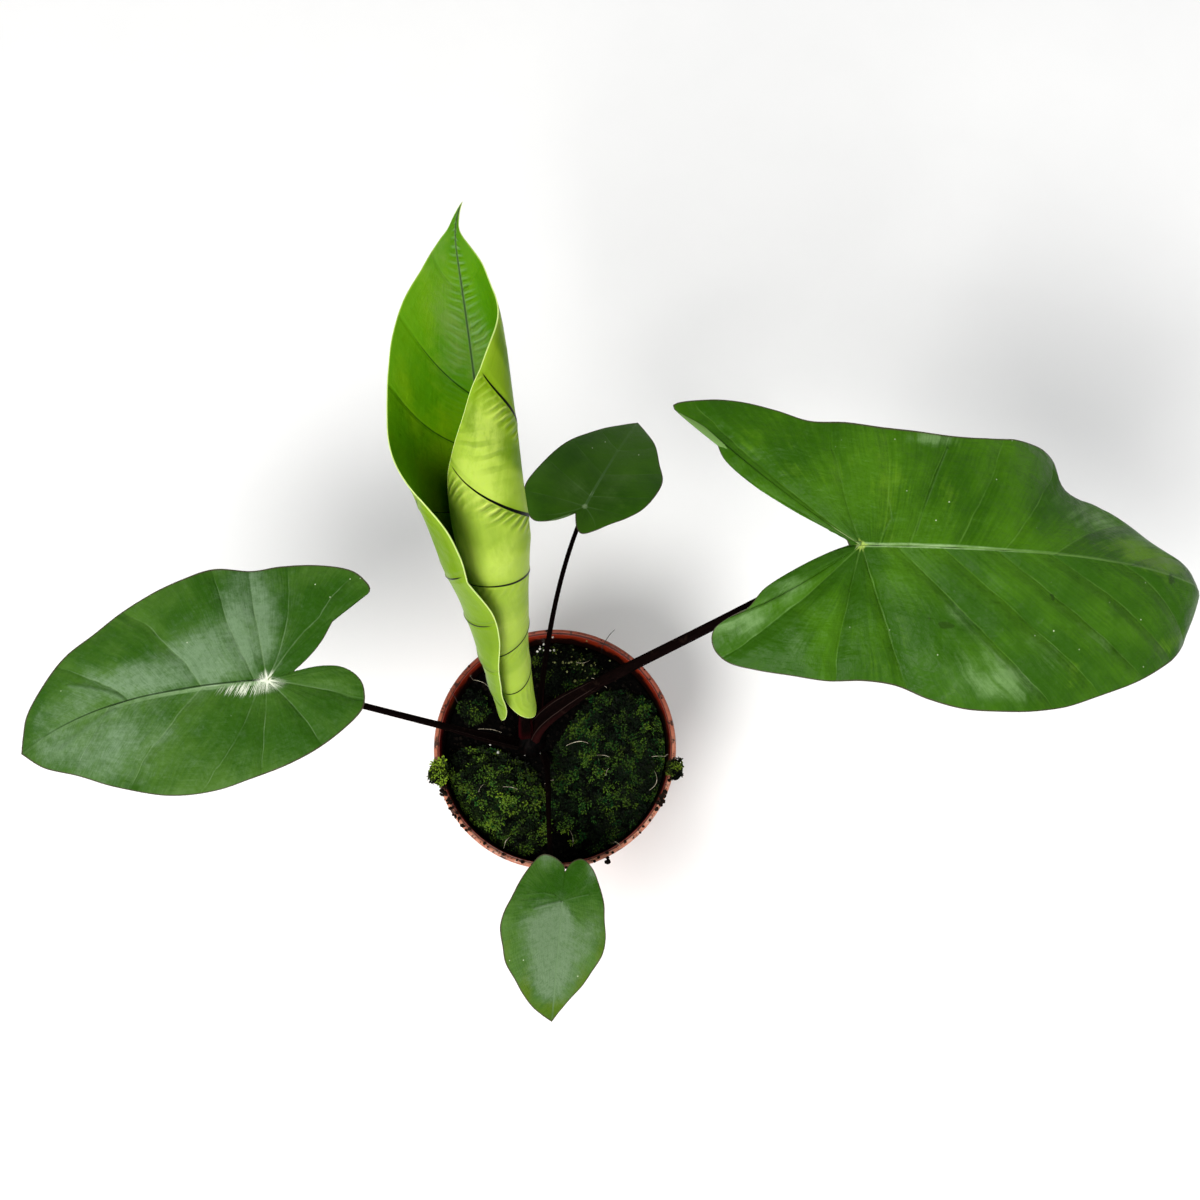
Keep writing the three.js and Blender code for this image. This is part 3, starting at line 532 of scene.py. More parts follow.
class Nodes:
    """Short calls for building a material."""

    def __init__(self, name):
        self.material = bpy.data.materials.new(name)
        self.material.use_nodes = True
        self.tree = self.material.node_tree
        self.shader = self.tree.nodes["Principled BSDF"]
        self.place = self.put("ShaderNodeTexCoord", "Object", {})

    def feed(self, socket, value):
        """Gives a socket a value, a number, a vector or a colour."""
        if isinstance(value, Value):
            self.tree.links.new(value.socket, socket)
        elif socket.type == "RGBA":
            socket.default_value = (*value, 1)
        else:
            socket.default_value = value

    def put(self, kind, output, inputs, **settings):
        """Adds a node, feeds its inputs and gives one of its outputs."""
        node = self.tree.nodes.new(kind)
        for key, value in settings.items():
            setattr(node, key, value)
        for key, value in inputs.items():
            self.feed(node.inputs[key], value)
        return Value(self, node.outputs[output])

    def attribute(self, name):
        return self.put("ShaderNodeAttribute", "Fac", {}, attribute_name=name)

    def math(self, operation, a, b=0.0):
        return self.put("ShaderNodeMath", 0, {0: a, 1: b}, operation=operation)

    def vector(self, x, y):
        return self.put("ShaderNodeCombineXYZ", 0, {0: x, 1: y})

    def scaled(self, vector, factors):
        return self.put("ShaderNodeVectorMath", 0, {0: vector, 1: factors}, operation="MULTIPLY")

    def turned(self, vector, angle):
        """The vector turned about the vertical."""
        return self.put("ShaderNodeVectorRotate", "Vector", {"Vector": vector, "Angle": angle},
                        rotation_type="Z_AXIS")

    def radius(self):
        """Distance from the pot's axis."""
        level = self.scaled(self.place, (1, 1, 0))
        return self.put("ShaderNodeVectorMath", "Value", {0: level}, operation="LENGTH")

    def coordinate(self, axis):
        """How far the place lies along the X, Y or Z axis."""
        return self.put("ShaderNodeSeparateXYZ", axis, {0: self.place})

    def noise(self, vector, scale, detail=3.0, roughness=0.5):
        return self.put("ShaderNodeTexNoise", "Fac", {
            "Vector": vector, "Scale": scale, "Detail": detail, "Roughness": roughness})

    def cells(self, scale, dimensions="3D"):
        """Distance from the nearest of many scattered spots."""
        return self.put("ShaderNodeTexVoronoi", "Distance",
                        {"Vector": self.place, "Scale": scale}, voronoi_dimensions=dimensions)

    def mix(self, share, a, b):
        return self.put("ShaderNodeMix", 2, {"Factor": share, 6: a, 7: b}, data_type="RGBA")

    def bump(self, height, distance, strength=1.0, **normal):
        return self.put("ShaderNodeBump", "Normal", {
            "Strength": strength, "Distance": distance, "Height": height, **normal})

    def surface(self, colour, roughness, normal=None, **fixed):
        self.feed(self.shader.inputs["Base Color"], colour)
        self.feed(self.shader.inputs["Roughness"], roughness)
        if normal is not None:
            self.feed(self.shader.inputs["Normal"], normal)
        for key, value in fixed.items():
            self.shader.inputs[key.replace("_", " ")].default_value = value
        return self.material


def srgb(red, green, blue):
    """A linear colour from 8-bit display values."""
    return tuple(((c / 255 + 0.055) / 1.055) ** 2.4 if c > 10 else c / 3295
                 for c in (red, green, blue))


def floor_material():
    n = Nodes("floor")
    grain = n.noise(n.place, 30)
    colour = n.mix(grain, (0.93, 0.93, 0.93), (0.96, 0.96, 0.96))
    return n.surface(colour, 0.9)


# ---------------------------------------------------------------- blade materials

# Colours (8-bit) and strengths for each of these blades, in this order. On the upper face
# are deep and light green (deep also paints the shadow behind creases), a yellower green
# (fresh), bloom (the leaf's waxy grey bloom together with painted sheen, which also paints the
# highlight on creases), veins, the midrib's groove, the band beside it and the star round the
# junction, which on the left blade is a white painted reflection; the under face has its own
# green and veins. A share says how strongly a marking shows; band_at and groove_at are how far
# beside the midrib they run, band_reach is how far along it, and star_size is the star's
# radius (mm). glint is how much the midrib glints. shaded is painted shade: how much darker and
# less sheeny each half is painted behind a side vein, where the quilted blade turns from the
# light. streaky, striae, cross, crinkle and furrow are the strengths of the streaks of colour,
# the fine stripes along and across the veins, the crinkles and the furrows. weave is the fine
# cloth-like grain in the bloom and sheen, and broken how much of them is left where they break
# up into streaks.
LOOK_OF = ("right", "left", "front", "back", "new")
LOOK_COLOURS = {
    "deep": ((40, 80, 4), (38, 78, 8), (36, 78, 2), (34, 70, 4), (66, 120, 1)),
    "light": ((62, 106, 10), (66, 102, 32), (74, 110, 42), (52, 90, 12), (82, 132, 2)),
    "fresh": ((92, 134, 22), (78, 120, 32), (76, 104, 4), (60, 98, 18), (100, 142, 4)),
    "bloom": ((104, 138, 80), (106, 132, 98), (104, 128, 94), (70, 102, 42), (98, 132, 50)),
    "vein": ((104, 142, 66), (120, 146, 104), (112, 138, 104), (92, 122, 72), (22, 52, 8)),
    "groove": ((92, 130, 56), (24, 46, 14), (100, 126, 88), (62, 94, 44), (46, 66, 36)),
    "band": ((138, 170, 110), (122, 152, 104), (114, 138, 106), (96, 126, 76), (92, 120, 74)),
    "star": ((158, 184, 84), (226, 232, 212), (116, 140, 106), (122, 146, 100), (98, 126, 88)),
    "under": ((96, 132, 62), (98, 130, 70), (104, 134, 80), (92, 122, 66), (106, 138, 14)),
    "under_vein": ((130, 150, 92), (130, 150, 96), (130, 150, 100), (116, 138, 86), (2, 4, 1)),
}
LOOK_STRENGTHS = {
    "vein_share": (0.24, 0.34, 0.03, 0.24, 0.9),
    "band_share": (0.9, 0.75, 0.08, 0.6, 0.7),
    "band_width": (1.45, 1.3, 1.3, 0.8, 1.1),
    "band_at": (0.0, 0.9, 0.0, 0.0, 0.0),
    "band_reach": (84, 78, 40, 26, 400),
    "groove_at": (0.0, -0.7, 0.0, 0.0, 0.0),
    "star_size": (3.5, 6.0, 0.4, 1.8, 0.5),
    "glint": (0.9, 0.3, 0.0, 0.5, 0.0),
    "shaded": ((0.35, 1.1), (0.35, 0.55), (0.0, 0.0), (0.1, 0.1), (0.1, 0.1)),
    "streaky": (0.8, 0.9, 0.9, 0.5, 0.4),
    "striae": (0.6, 0.4, 0.35, 0.25, 0.5),
    "cross": (1.4, 0.9, 1.2, 0.4, 0.6),
    "crinkle": (1.4, 1.3, 0.9, 0.6, 0.6),
    "furrow": (1.0, 0.8, 0.1, 0.3, 0.9),
    "weave": (0.35, 0.55, 0.6, 0.25, 0.3),
    "broken": (0.5, 1.0, 1.0, 0.9, 0.9),
    "roughness": (0.3, 0.36, 0.4, 0.38, 0.34),
}
LEAF_LOOKS = {
    name: {**{key: srgb(*row[i]) for key, row in LOOK_COLOURS.items()},
           **{key: row[i] for key, row in LOOK_STRENGTHS.items()}}
    for i, name in enumerate(LOOK_OF)
}
MARGIN_COLOUR = srgb(66, 54, 46)
MIDRIB_UNDER = srgb(126, 140, 84)
GLINT_COLOUR = srgb(202, 222, 186)
STAIN_COLOUR = srgb(34, 62, 6)
DUST_COLOUR = srgb(206, 218, 184)
CRIMP_SHINE = srgb(120, 156, 100)
YOUNG_RIM = srgb(126, 160, 44)
YOUNG_GLOW = {"Subsurface_Weight": 0.4, "Subsurface_Radius": (0.6, 1.0, 0.12),
              "Subsurface_Scale": 0.0004}
# Colours of the new leaf's under face: a light green, a dark green that also paints shade, a
# painted satin highlight, painted light along the margin, and the pale edge.
ROLL_LIGHT = srgb(118, 150, 18)
ROLL_DARK_GREEN_AND_SHADE = srgb(80, 114, 4)
ROLL_PAINTED_HIGHLIGHT = srgb(186, 206, 92)
ROLL_MARGIN_PAINTED_LIGHT = srgb(176, 204, 70)
ROLL_EDGE = srgb(206, 226, 140)


class LeafNodes(Nodes):
    """Material nodes with a blade's own measures at hand.

    phase counts the side veins from the tip and after is how far a place lies behind one, as
    a share of the way to the next. side, edge, near and midrib are distances (mm) from a side
    vein, the margin, the junction and the midrib, and across is the share of the way out.
    """

    def __init__(self, name, wander):
        super().__init__(name)
        for key in ("across", "rib", "edge", "near", "half"):
            setattr(self, key, self.attribute(key))
        self.midrib = abs(self.rib)
        sway = (self.noise(self.place, 55, 2) - 0.5) * self.across.ramp(0.0, 0.35, 0, wander)
        self.phase = self.attribute("phase") + sway
        self.after = self.phase.fraction()
        self.side = abs((self.phase + 0.5).fraction() - 0.5) * self.attribute("spacing")
        self.veinwise = self.vector(self.phase * 14.0, self.across * 2.2)
        self.crosswise = self.vector(self.phase * 3.0, self.across * 26.0)

    def line(self, distance, width):
        """1 on a line and 0 beyond width from it."""
        return (distance / width).ramp(0.45, 1.0, 1, 0)

    def beside_rib(self, at, width):
        """1 on a line that runs beside the midrib and 0 beyond width from it."""
        return abs(self.rib - at).ramp(0.4 * width, width, 1, 0)

    def some(self, scale, low, high, least, most):
        """A strength that varies from place to place."""
        return self.noise(self.place, scale, 2).ramp(low, high, least, most)


def upper_colour(n, look):
    """The colour of an upper face, how waxy its sheen is at each place, and its mottle."""
    streaks = n.noise(n.veinwise, 1.1, 4)
    mottle = n.noise(n.place, 90, 5, 0.65) - 0.5
    # painted shade: each half is painted darker, and with less sheen, behind a side vein
    shade = n.after.ramp(0.0, 1.0) * n.half.ramp(0.0, 1.0, *look["shaded"])
    tone = streaks * (0.5 * look["streaky"]) + n.noise(n.place, 34) * 1.1 - shade * 0.2
    middle = 0.5 + 0.25 * look["streaky"]
    colour = n.mix(tone.ramp(middle - 0.23, middle + 0.23), look["deep"], look["light"])
    fresh = n.attribute("fresh") + (streaks - 0.5) * look["streaky"] + mottle * 1.8
    colour = n.mix(fresh.ramp(0.2, 1.1, 0, 0.8), colour, look["fresh"])
    deep = n.attribute("deep") + mottle * 1.4
    colour = n.mix(deep.ramp(0.1, 0.9, 0, 0.9), colour, look["deep"])
    sheen = n.noise(n.veinwise, 2.6, 4, 0.6) * 0.35 + n.noise(n.crosswise, 1.0, 3, 0.6) * 0.25
    sheen = sheen + n.noise(n.place, 210, 4, 0.6) * 0.4
    # the leaf's waxy grey bloom together with painted sheen, strongest close behind each vein
    bloom_and_sheen_strength = (n.attribute("bloom") + mottle * 0.9) * sheen.ramp(0.36, 0.64, 0.6, 1.1)
    broken_up = n.noise(n.veinwise, 0.6).ramp(0.36, 0.6, look["broken"], 1.15)
    bloom_and_sheen_strength = bloom_and_sheen_strength * broken_up * (1.2 - shade)
    colour = n.mix(bloom_and_sheen_strength.ramp(0.08, 0.9, 0, 0.95), colour, look["bloom"])
    weave = n.noise(n.turned(n.place, 0.6), 420, 5, 0.75) * 0.5
    weave = weave + n.noise(n.scaled(n.veinwise, (5, 3, 1)), 1.0, 4, 0.7) * 0.5
    woven = bloom_and_sheen_strength.ramp(0.0, 0.7, 0.15 * look["weave"], 0.9 * look["weave"])
    colour = n.mix(weave.ramp(0.48, 0.62) * woven, colour, look["bloom"])
    colour = n.mix(weave.ramp(0.38, 0.52, 0.7, 0) * woven, colour, look["deep"])
    return colour, sheen, mottle


def rib_markings(n, look, young, colour):
    """Adds the side veins, the band, glints and groove of the midrib, and the star."""
    line = n.line(n.side, n.across * -0.3 + (0.42 if young else 0.5)) * look["vein_share"]
    line = line * n.edge.ramp(1.0, 9.0) * n.near.ramp(125, 140, 1, 0.2 if young else 1)
    if not young:
        line = line * n.some(75, 0.36, 0.62, 0.15, 1.0)
    colour = n.mix(line, colour, look["vein"])
    reach = look["band_reach"]
    dashes = n.noise(n.scaled(n.place, (1, 2.5, 1)), 240, 2).ramp(0.35, 0.6, 0.6, 1.0)
    band = n.beside_rib(look["band_at"], look["band_width"]) * look["band_share"]
    band = band * dashes * n.near.ramp(0.4 * reach, reach, 1, 0.2)
    colour = n.mix(band, colour, look["band"])
    glints = n.noise(n.scaled(n.place, (0.35, 1, 1)), 150, 2).ramp(0.46, 0.6) * look["glint"]
    glints = glints * n.beside_rib(0.0, 0.7) * n.near.ramp(0.2 * reach, 0.7 * reach, 1, 0)
    colour = n.mix(glints, colour, GLINT_COLOUR)
    groove = n.beside_rib(look["groove_at"], 0.6) * n.near.ramp(reach, 1.4 * reach, 0.85, 0.2)
    colour = n.mix(groove, colour, look["groove"])
    # the star round the junction: paler lines and a spot; on the left blade its white is a painted
    # reflection
    rays = n.line(n.side, 0.45).or_more(n.beside_rib(0, 0.8))
    rays = rays.or_more(n.near.ramp(0.9, 2.2, 1, 0))
    star = n.near.ramp(0.25 * look["star_size"], look["star_size"], 1, 0)
    return n.mix(star * rays, colour, look["star"])


def spots_and_margin(n, look, young, colour, mottle):
    """Adds the hairs round the junction, stains, specks of dust and the margin."""
    strokes = n.noise(n.scaled(n.veinwise, (4, 2.5, 1)), 1.0, 3, 0.7)
    hairs = n.attribute("hairs") * strokes.ramp(0.4, 0.62)
    colour = n.mix(hairs.ramp(0.1, 0.7, 0, 0.9), colour, look["star"])
    stain = n.attribute("stain") + mottle * 1.2
    colour = n.mix(stain.ramp(0.42, 0.55, 0, 0.75), colour, STAIN_COLOUR)
    if young:
        return n.mix(n.edge.ramp(0.3, 0.42, 0.85, 0), colour, YOUNG_RIM)
    dust = n.cells(60, "2D").ramp(0.008, 0.022, 1, 0) * n.some(24, 0.5, 0.62, 0, 0.8)
    colour = n.mix(dust, colour, DUST_COLOUR)
    return n.mix(n.edge.ramp(0.3, 0.95, 0.85, 0), colour, MARGIN_COLOUR)


def upper_face(name):
    """The upper face: colour, veins, bloom with painted sheen, painted crease shadows and
    highlights, and spots, then its relief and gloss.
    """
    look = LEAF_LOOKS[name]
    young = name == "new"
    n = LeafNodes(f"{name}_upper", 0.01 if young else 0.16)
    colour, sheen, mottle = upper_colour(n, look)
    colour = rib_markings(n, look, young, colour)
    colour = spots_and_margin(n, look, young, colour, mottle)
    crease = n.attribute("crease")
    # a painted shadow just behind each crease, and a painted highlight on its ridge
    colour = n.mix(n.attribute("behind").ramp(0.1, 1.0, 0, 0.6), colour, look["deep"])
    colour = n.mix(crease.ramp(0.2, 1.0, 0, 0.5), colour, look["bloom"])
    height = n.noise(n.veinwise, 9) * look["striae"] + n.noise(n.place, 1100, 2) * 0.2
    height = height + n.noise(n.crosswise, 1.0, 3, 0.6) * look["cross"]
    if young:
        crimps = (n.noise(n.place, 70, 2) * 12.0 + n.phase * 70.0 - n.across * 16.0).sine()
        close = n.across.ramp(0.02, 0.08) * n.across.ramp(0.15, 0.5, 1, 0)
        close = close * n.near.ramp(90, 140) * n.half.ramp(0, 1, 0.7, 1)
        close = close * n.some(64, 0.36, 0.6, 0.2, 1)
        height = height + crimps * close * 1.4
        colour = n.mix(crimps.ramp(0.1, 0.9) * close * 0.45, colour, CRIMP_SHINE)
    height = height + n.side.ramp(0.1, 1.1, -0.9 * look["furrow"], 0)
    fine = n.bump(height, 0.00028, 0.85)
    swell = n.noise(n.place, 85, 3, 0.55) + n.side.ramp(0.0, 5.0) * (0.5 * look["furrow"])
    swell = swell + crease * 0.4
    normal = n.bump(swell, 0.0016 * look["crinkle"], 0.8, Normal=fine)
    gloss = sheen.ramp(0.3, 0.7, look["roughness"], look["roughness"] + 0.12)
    glow = YOUNG_GLOW if young else {}
    return n.surface(colour, gloss, normal, Specular_IOR_Level=0.08, **glow)


def under_face(name):
    """The under face of a grown blade: a paler, duller green with pale veins."""
    look = LEAF_LOOKS[name]
    n = LeafNodes(f"{name}_under", 0.1)
    light = tuple(min(1.0, c * 1.18) for c in look["under"])
    dark = tuple(c * 0.78 for c in look["under"])
    tone = n.noise(n.veinwise, 2.0) * 0.5 + n.noise(n.place, 30)
    colour = n.mix(tone.ramp(0.5, 1.0), dark, light)
    colour = n.mix(n.line(n.side, 0.5), colour, look["under_vein"])
    colour = n.mix(n.midrib.ramp(0.9, 2.2, 0.8, 0), colour, MIDRIB_UNDER)
    colour = n.mix(n.edge.ramp(0.2, 0.6, 0.7, 0), colour, MARGIN_COLOUR)
    height = n.noise(n.veinwise, 9) * 0.4 + n.noise(n.place, 1100, 2) * 0.2
    return n.surface(colour, 0.55, n.bump(height, 0.00028, 0.7), Specular_IOR_Level=0.3)


def roll_folds(n):
    """Two kinds of fold in the roll, as waves and where each shows: short crimps close behind
    the veins, and wider arcs between them. Both keep to the half that faces outwards."""
    course = n.attribute("course")
    warp = n.noise(n.place, 60) * 9.0
    crimps = (n.edge * 1.4 + course * 1.75 + warp).sine()
    crimped = n.after.ramp(0.01, 0.04) * n.after.ramp(0.08, 0.3, 1, 0)
    crimped = crimped * n.phase.ramp(4.1, 4.6, 1, 0.1) * n.half.ramp(0, 1, 0.1, 1)
    crimped = crimped * n.edge.ramp(0.5, 6, 0.2, 1) * n.some(52, 0.38, 0.56, 0.2, 1)
    arcs = (n.edge * 0.6 + course * 1.3 + warp).sine()
    arched = n.after.ramp(0.12, 0.3) * n.after.ramp(0.55, 0.9, 1, 0)
    arched = arched * n.phase.ramp(4.1, 4.6, 1, 0.2) * n.phase.ramp(2.9, 3.2, 0.2, 1)
    arched = arched * n.half.ramp(0, 1, 0.05, 1) * n.edge.ramp(24, 40, 1, 0.2)
    arched = arched * n.some(36, 0.42, 0.6, 0.1, 0.9)
    return crimps, crimped, arcs, arched


def young_under_face():
    """The under face of the new leaf: yellow-green with painted satin highlights and painted shade
    in its hollows and folds, crimped behind near-black veins.
    """
    look = LEAF_LOOKS["new"]
    n = LeafNodes("new_under", 0.02)
    outer = n.half.ramp(0, 1)
    silk = n.noise(n.crosswise, 0.55, 4, 0.6)
    cloud = n.noise(n.place, 38, 3, 0.6)
    grain = n.noise(n.scaled(n.place, (1, 0.5, 0.5)), 420, 3, 0.7)
    colour = n.mix((silk * 0.35 + cloud * 0.75).ramp(0.4, 0.72), look["under"], ROLL_LIGHT)
    colour = n.mix(n.half.ramp(0, 1, 0.35, 0), colour, ROLL_DARK_GREEN_AND_SHADE)
    colour = n.mix(n.attribute("deep").ramp(0.1, 0.9, 0, 0.8), colour, ROLL_DARK_GREEN_AND_SHADE)
    # painted shade in the hollow behind each vein, and a painted highlight on the crest before the
    # next
    hollow = n.after.ramp(0.22, 0.34) * n.after.ramp(0.46, 0.6, 1, 0)
    hollow = hollow * n.half.ramp(0, 1, 0.2, 1) * n.phase.ramp(3.8, 4.4, 1, 0.3)
    colour = n.mix(hollow * 0.75, colour, ROLL_DARK_GREEN_AND_SHADE)
    crest = n.after.ramp(0.48, 0.62) * n.after.ramp(0.9, 0.98, 1, 0.4)
    crest = crest * outer * n.phase.ramp(2.9, 3.2, 0.2, 1)
    colour = n.mix(crest * 0.2, colour, ROLL_PAINTED_HIGHLIGHT)
    # painted light on the lower roll, which lies in shade
    colour = n.mix(n.phase.ramp(3.9, 4.3, 0, 0.26) * outer, colour, ROLL_PAINTED_HIGHLIGHT)
    # painted satin highlight
    satin = (silk * 0.5 + grain * 0.5).ramp(0.35, 0.62, 0.65, 1.1)
    bloom_and_sheen_strength = (n.attribute("bloom") + cloud - 0.46) * satin * n.half.ramp(0, 1, 0.3, 1.0)
    colour = n.mix(bloom_and_sheen_strength.ramp(0.05, 0.9, 0, 0.62), colour, ROLL_PAINTED_HIGHLIGHT)
    crimps, crimped, arcs, arched = roll_folds(n)
    # painted shade and highlights of the arcs and crimps
    colour = n.mix(arcs.ramp(0.1, -0.8) * arched * 0.5, colour, ROLL_DARK_GREEN_AND_SHADE)
    colour = n.mix(crimps.ramp(0.1, -0.8) * crimped * 0.5, colour, ROLL_DARK_GREEN_AND_SHADE)
    colour = n.mix(crimps.ramp(0.3, 0.9) * crimped * 0.9, colour, ROLL_PAINTED_HIGHLIGHT)
    # painted light along the margin, where the roll turns into the strip's shadow
    colour = n.mix(n.edge.ramp(1.0, 6.0, 0.12, 0), colour, ROLL_MARGIN_PAINTED_LIGHT)
    line = (n.side / (n.across * -0.95 + 1.2)).ramp(0.65, 1.0, 1, 0)
    colour = n.mix(line * n.edge.ramp(1.5, 6.0), colour, look["under_vein"])
    colour = n.mix(n.midrib.ramp(0.9, 2.2, 0.8, 0), colour, MIDRIB_UNDER)
    colour = n.mix(n.edge.ramp(0.2, 0.7, 0.8, 0), colour, ROLL_EDGE)
    fine = n.bump(n.noise(n.crosswise, 1.6) * 0.5 + grain * 0.5, 0.00028, 0.7)
    relief = crimps * crimped * 1.3 + n.side.ramp(0.6, 2.6, -0.6, 0)
    relief = relief + arcs * arched * 0.6 + cloud * 1.8
    normal = n.bump(relief, 0.0007, 0.9, Normal=fine)
    return n.surface(colour, 0.34, normal, Specular_IOR_Level=0.03, **YOUNG_GLOW)


def margin_material(name):
    """The thin rim: brown on grown blades, pale yellow-green on the new one."""
    n = Nodes(f"{name}_margin")
    tone = n.noise(n.place, 300, 2)
    young = name == "new"
    dark = srgb(150, 180, 60) if young else srgb(52, 42, 36)
    light = srgb(214, 232, 150) if young else srgb(88, 80, 60)
    return n.surface(n.mix(tone, dark, light), 0.5, n.bump(tone, 0.0002))


# ---------------------------------------------------------------- blades


def outline_points(margin, shares):
    """Points at the given shares of the length of a smooth curve through the margin."""
    p = np.array(margin, float)
    last = len(p) - 1
    q = np.linspace(0, last, 40 * last + 1)
    i = np.minimum(q.astype(int), last - 1)
    curve = between(p[np.maximum(i - 1, 0)], p[i], p[i + 1], p[np.minimum(i + 2, last)],
                    (q - i)[:, None])
    length = np.r_[0, np.cumsum(np.hypot(*np.diff(curve, axis=0).T))]
    wanted = np.asarray(shares) * length[-1]
    return np.c_[np.interp(wanted, length, curve[:, 0]), np.interp(wanted, length, curve[:, 1])]


def midrib_frame(blade):
    """Points and directions along the midrib, every MIDRIB_STEP from the span's start."""
    first, last = blade["span"]
    u = np.arange(first, last + MIDRIB_STEP, MIDRIB_STEP)
    heading, pitch, roll = (np.radians(look_up(blade[k], u)) for k in ("heading", "pitch", "roll"))
    along = np.c_[np.cos(pitch) * np.cos(heading), np.cos(pitch) * np.sin(heading),
                  np.sin(pitch)]
    level = np.c_[-np.sin(heading), np.cos(heading), 0 * heading]
    above = np.cross(along, level)
    cos, sin = np.cos(roll)[:, None], np.sin(roll)[:, None]
    left = level * cos + above * sin
    normal = above * cos - level * sin
    point = np.zeros((len(u), 3))
    point[1:] = np.cumsum((along[1:] + along[:-1]) / 2 * MIDRIB_STEP, axis=0)
    point += np.array(blade["junction"]) - point[int(round(-first / MIDRIB_STEP))]
    return u, point, left, normal


def bent(blade, rail, side, u, v, lift):
    """Where points of the flat blade lie once it is bent."""
    stations, point, left, normal = rail
    shape = blade["sides"][side]

    def at(values):
        return np.stack([np.interp(u, stations, values[:, k]) for k in range(3)], -1)

    angle = np.radians(look_up(shape["fold"], u))
    k = look_up(shape["curl"], u)
    straight = np.minimum(v, blade["flat"])
    turn = angle + k * np.maximum(v - blade["flat"], 0)
    out = straight * np.cos(angle) + (np.sin(turn) - np.sin(angle)) / k - lift * np.sin(turn)
    up = straight * np.sin(angle) - (np.cos(turn) - np.cos(angle)) / k + lift * np.cos(turn)
    direction = 1 if side == 0 else -1
    return at(point) + direction * out[..., None] * at(left) + up[..., None] * at(normal)


def vein_knots(shape):
    """For the tip, each side vein and the notch: its end's share of the margin, its root on
    the midrib, and how far its middle lies off the straight line between them."""
    margin = shape["margin"]
    fine = outline_points(margin, np.arange(OUTLINE_STEPS + 1) / OUTLINE_STEPS)
    knots = [(0, margin[0][0], 0, 0)]
    for root, middle, end in shape["veins"]:
        nearest = int(np.argmin(np.hypot(*(fine - end).T)))
        bow = np.array(middle) - (fine[nearest] + (root, 0)) / 2
        knots.append((nearest / OUTLINE_STEPS, root, *bow))
    knots.append((1, 0, 0, 0))
    return np.array(knots, float)


def root_rows(blade):
    """Where the rows of points leave the midrib, from the tip to the junction, so that on
    both sides they end at about even steps along the margin."""
    even = np.arange(blade["rows"][0] + 1) / blade["rows"][0]
    roots = []
    for shape in blade["sides"]:
        knots = vein_knots(shape)
        split = knots[np.argmax(knots[:, 1] <= 0), 0]
        roots.append(np.interp(split * even, knots[:, 0], knots[:, 1]))
    return (roots[0] + roots[1]) / 2


def patch_field(patches, u, v):
    """How strong a soft patch of colour is at each point of the flat blade."""
    field = 0 * u
    for middle, out, along, wide, strength in patches:
        field += strength * np.exp(-((u - middle) / along) ** 2 - ((v - out) / wide) ** 2)
    return np.clip(field, 0, 1)


def crease_field(creases, u, v, shift):
    """How strong the creases are at each point: each has a strength, a width and a line of
    (u, v) points; shift moves them back towards the notch."""
    field = 0 * u
    for strength, width, line in creases:
        away = np.full_like(u, np.inf)
        for (u0, v0), (u1, v1) in zip(line, line[1:]):
            du, dv = u1 - u0, v1 - v0
            t = np.clip(((u + shift - u0) * du + (v - v0) * dv) / (du**2 + dv**2), 0, 1)
            away = np.minimum(away, np.hypot(u + shift - u0 - t * du, v - v0 - t * dv))
        field = np.maximum(field, strength * np.exp(-(away / width) ** 2))
    return field


def swelling(shape, share, t, phase, spacing, u, v):
    """How far each point is lifted by the margin's waves, the pillows between the veins and
    small lumps, and how strongly pillows and veins may show there."""
    window = np.clip(t * 4, 0, 1) * np.clip((1 - t) * 5, 0, 1)
    window = window * np.sin(np.pi * np.clip(share, 0, 1))[:, None] ** 0.5
    lift = 0 * t
    for amount, count, turn in shape["waves"]:
        swing = np.sin(2 * np.pi * (count * share + turn)) * np.sin(np.pi * share)
        lift = lift + amount * t**2 * swing[:, None]
    pillow = np.abs(np.sin(np.pi * phase)) ** 0.6
    width = np.clip(spacing / PILLOW_WIDTH, 0.2, 1)
    lift = lift + shape["quilt"] * (pillow * width - 0.4) * window
    lumps = np.sin(u / 6.1 + 1.3 * np.sin(v / 7.7)) * np.cos(v / 5.3 + 0.7 * np.sin(u / 9.1))
    return lift + LUMPS * shape["quilt"] * lumps * window, window


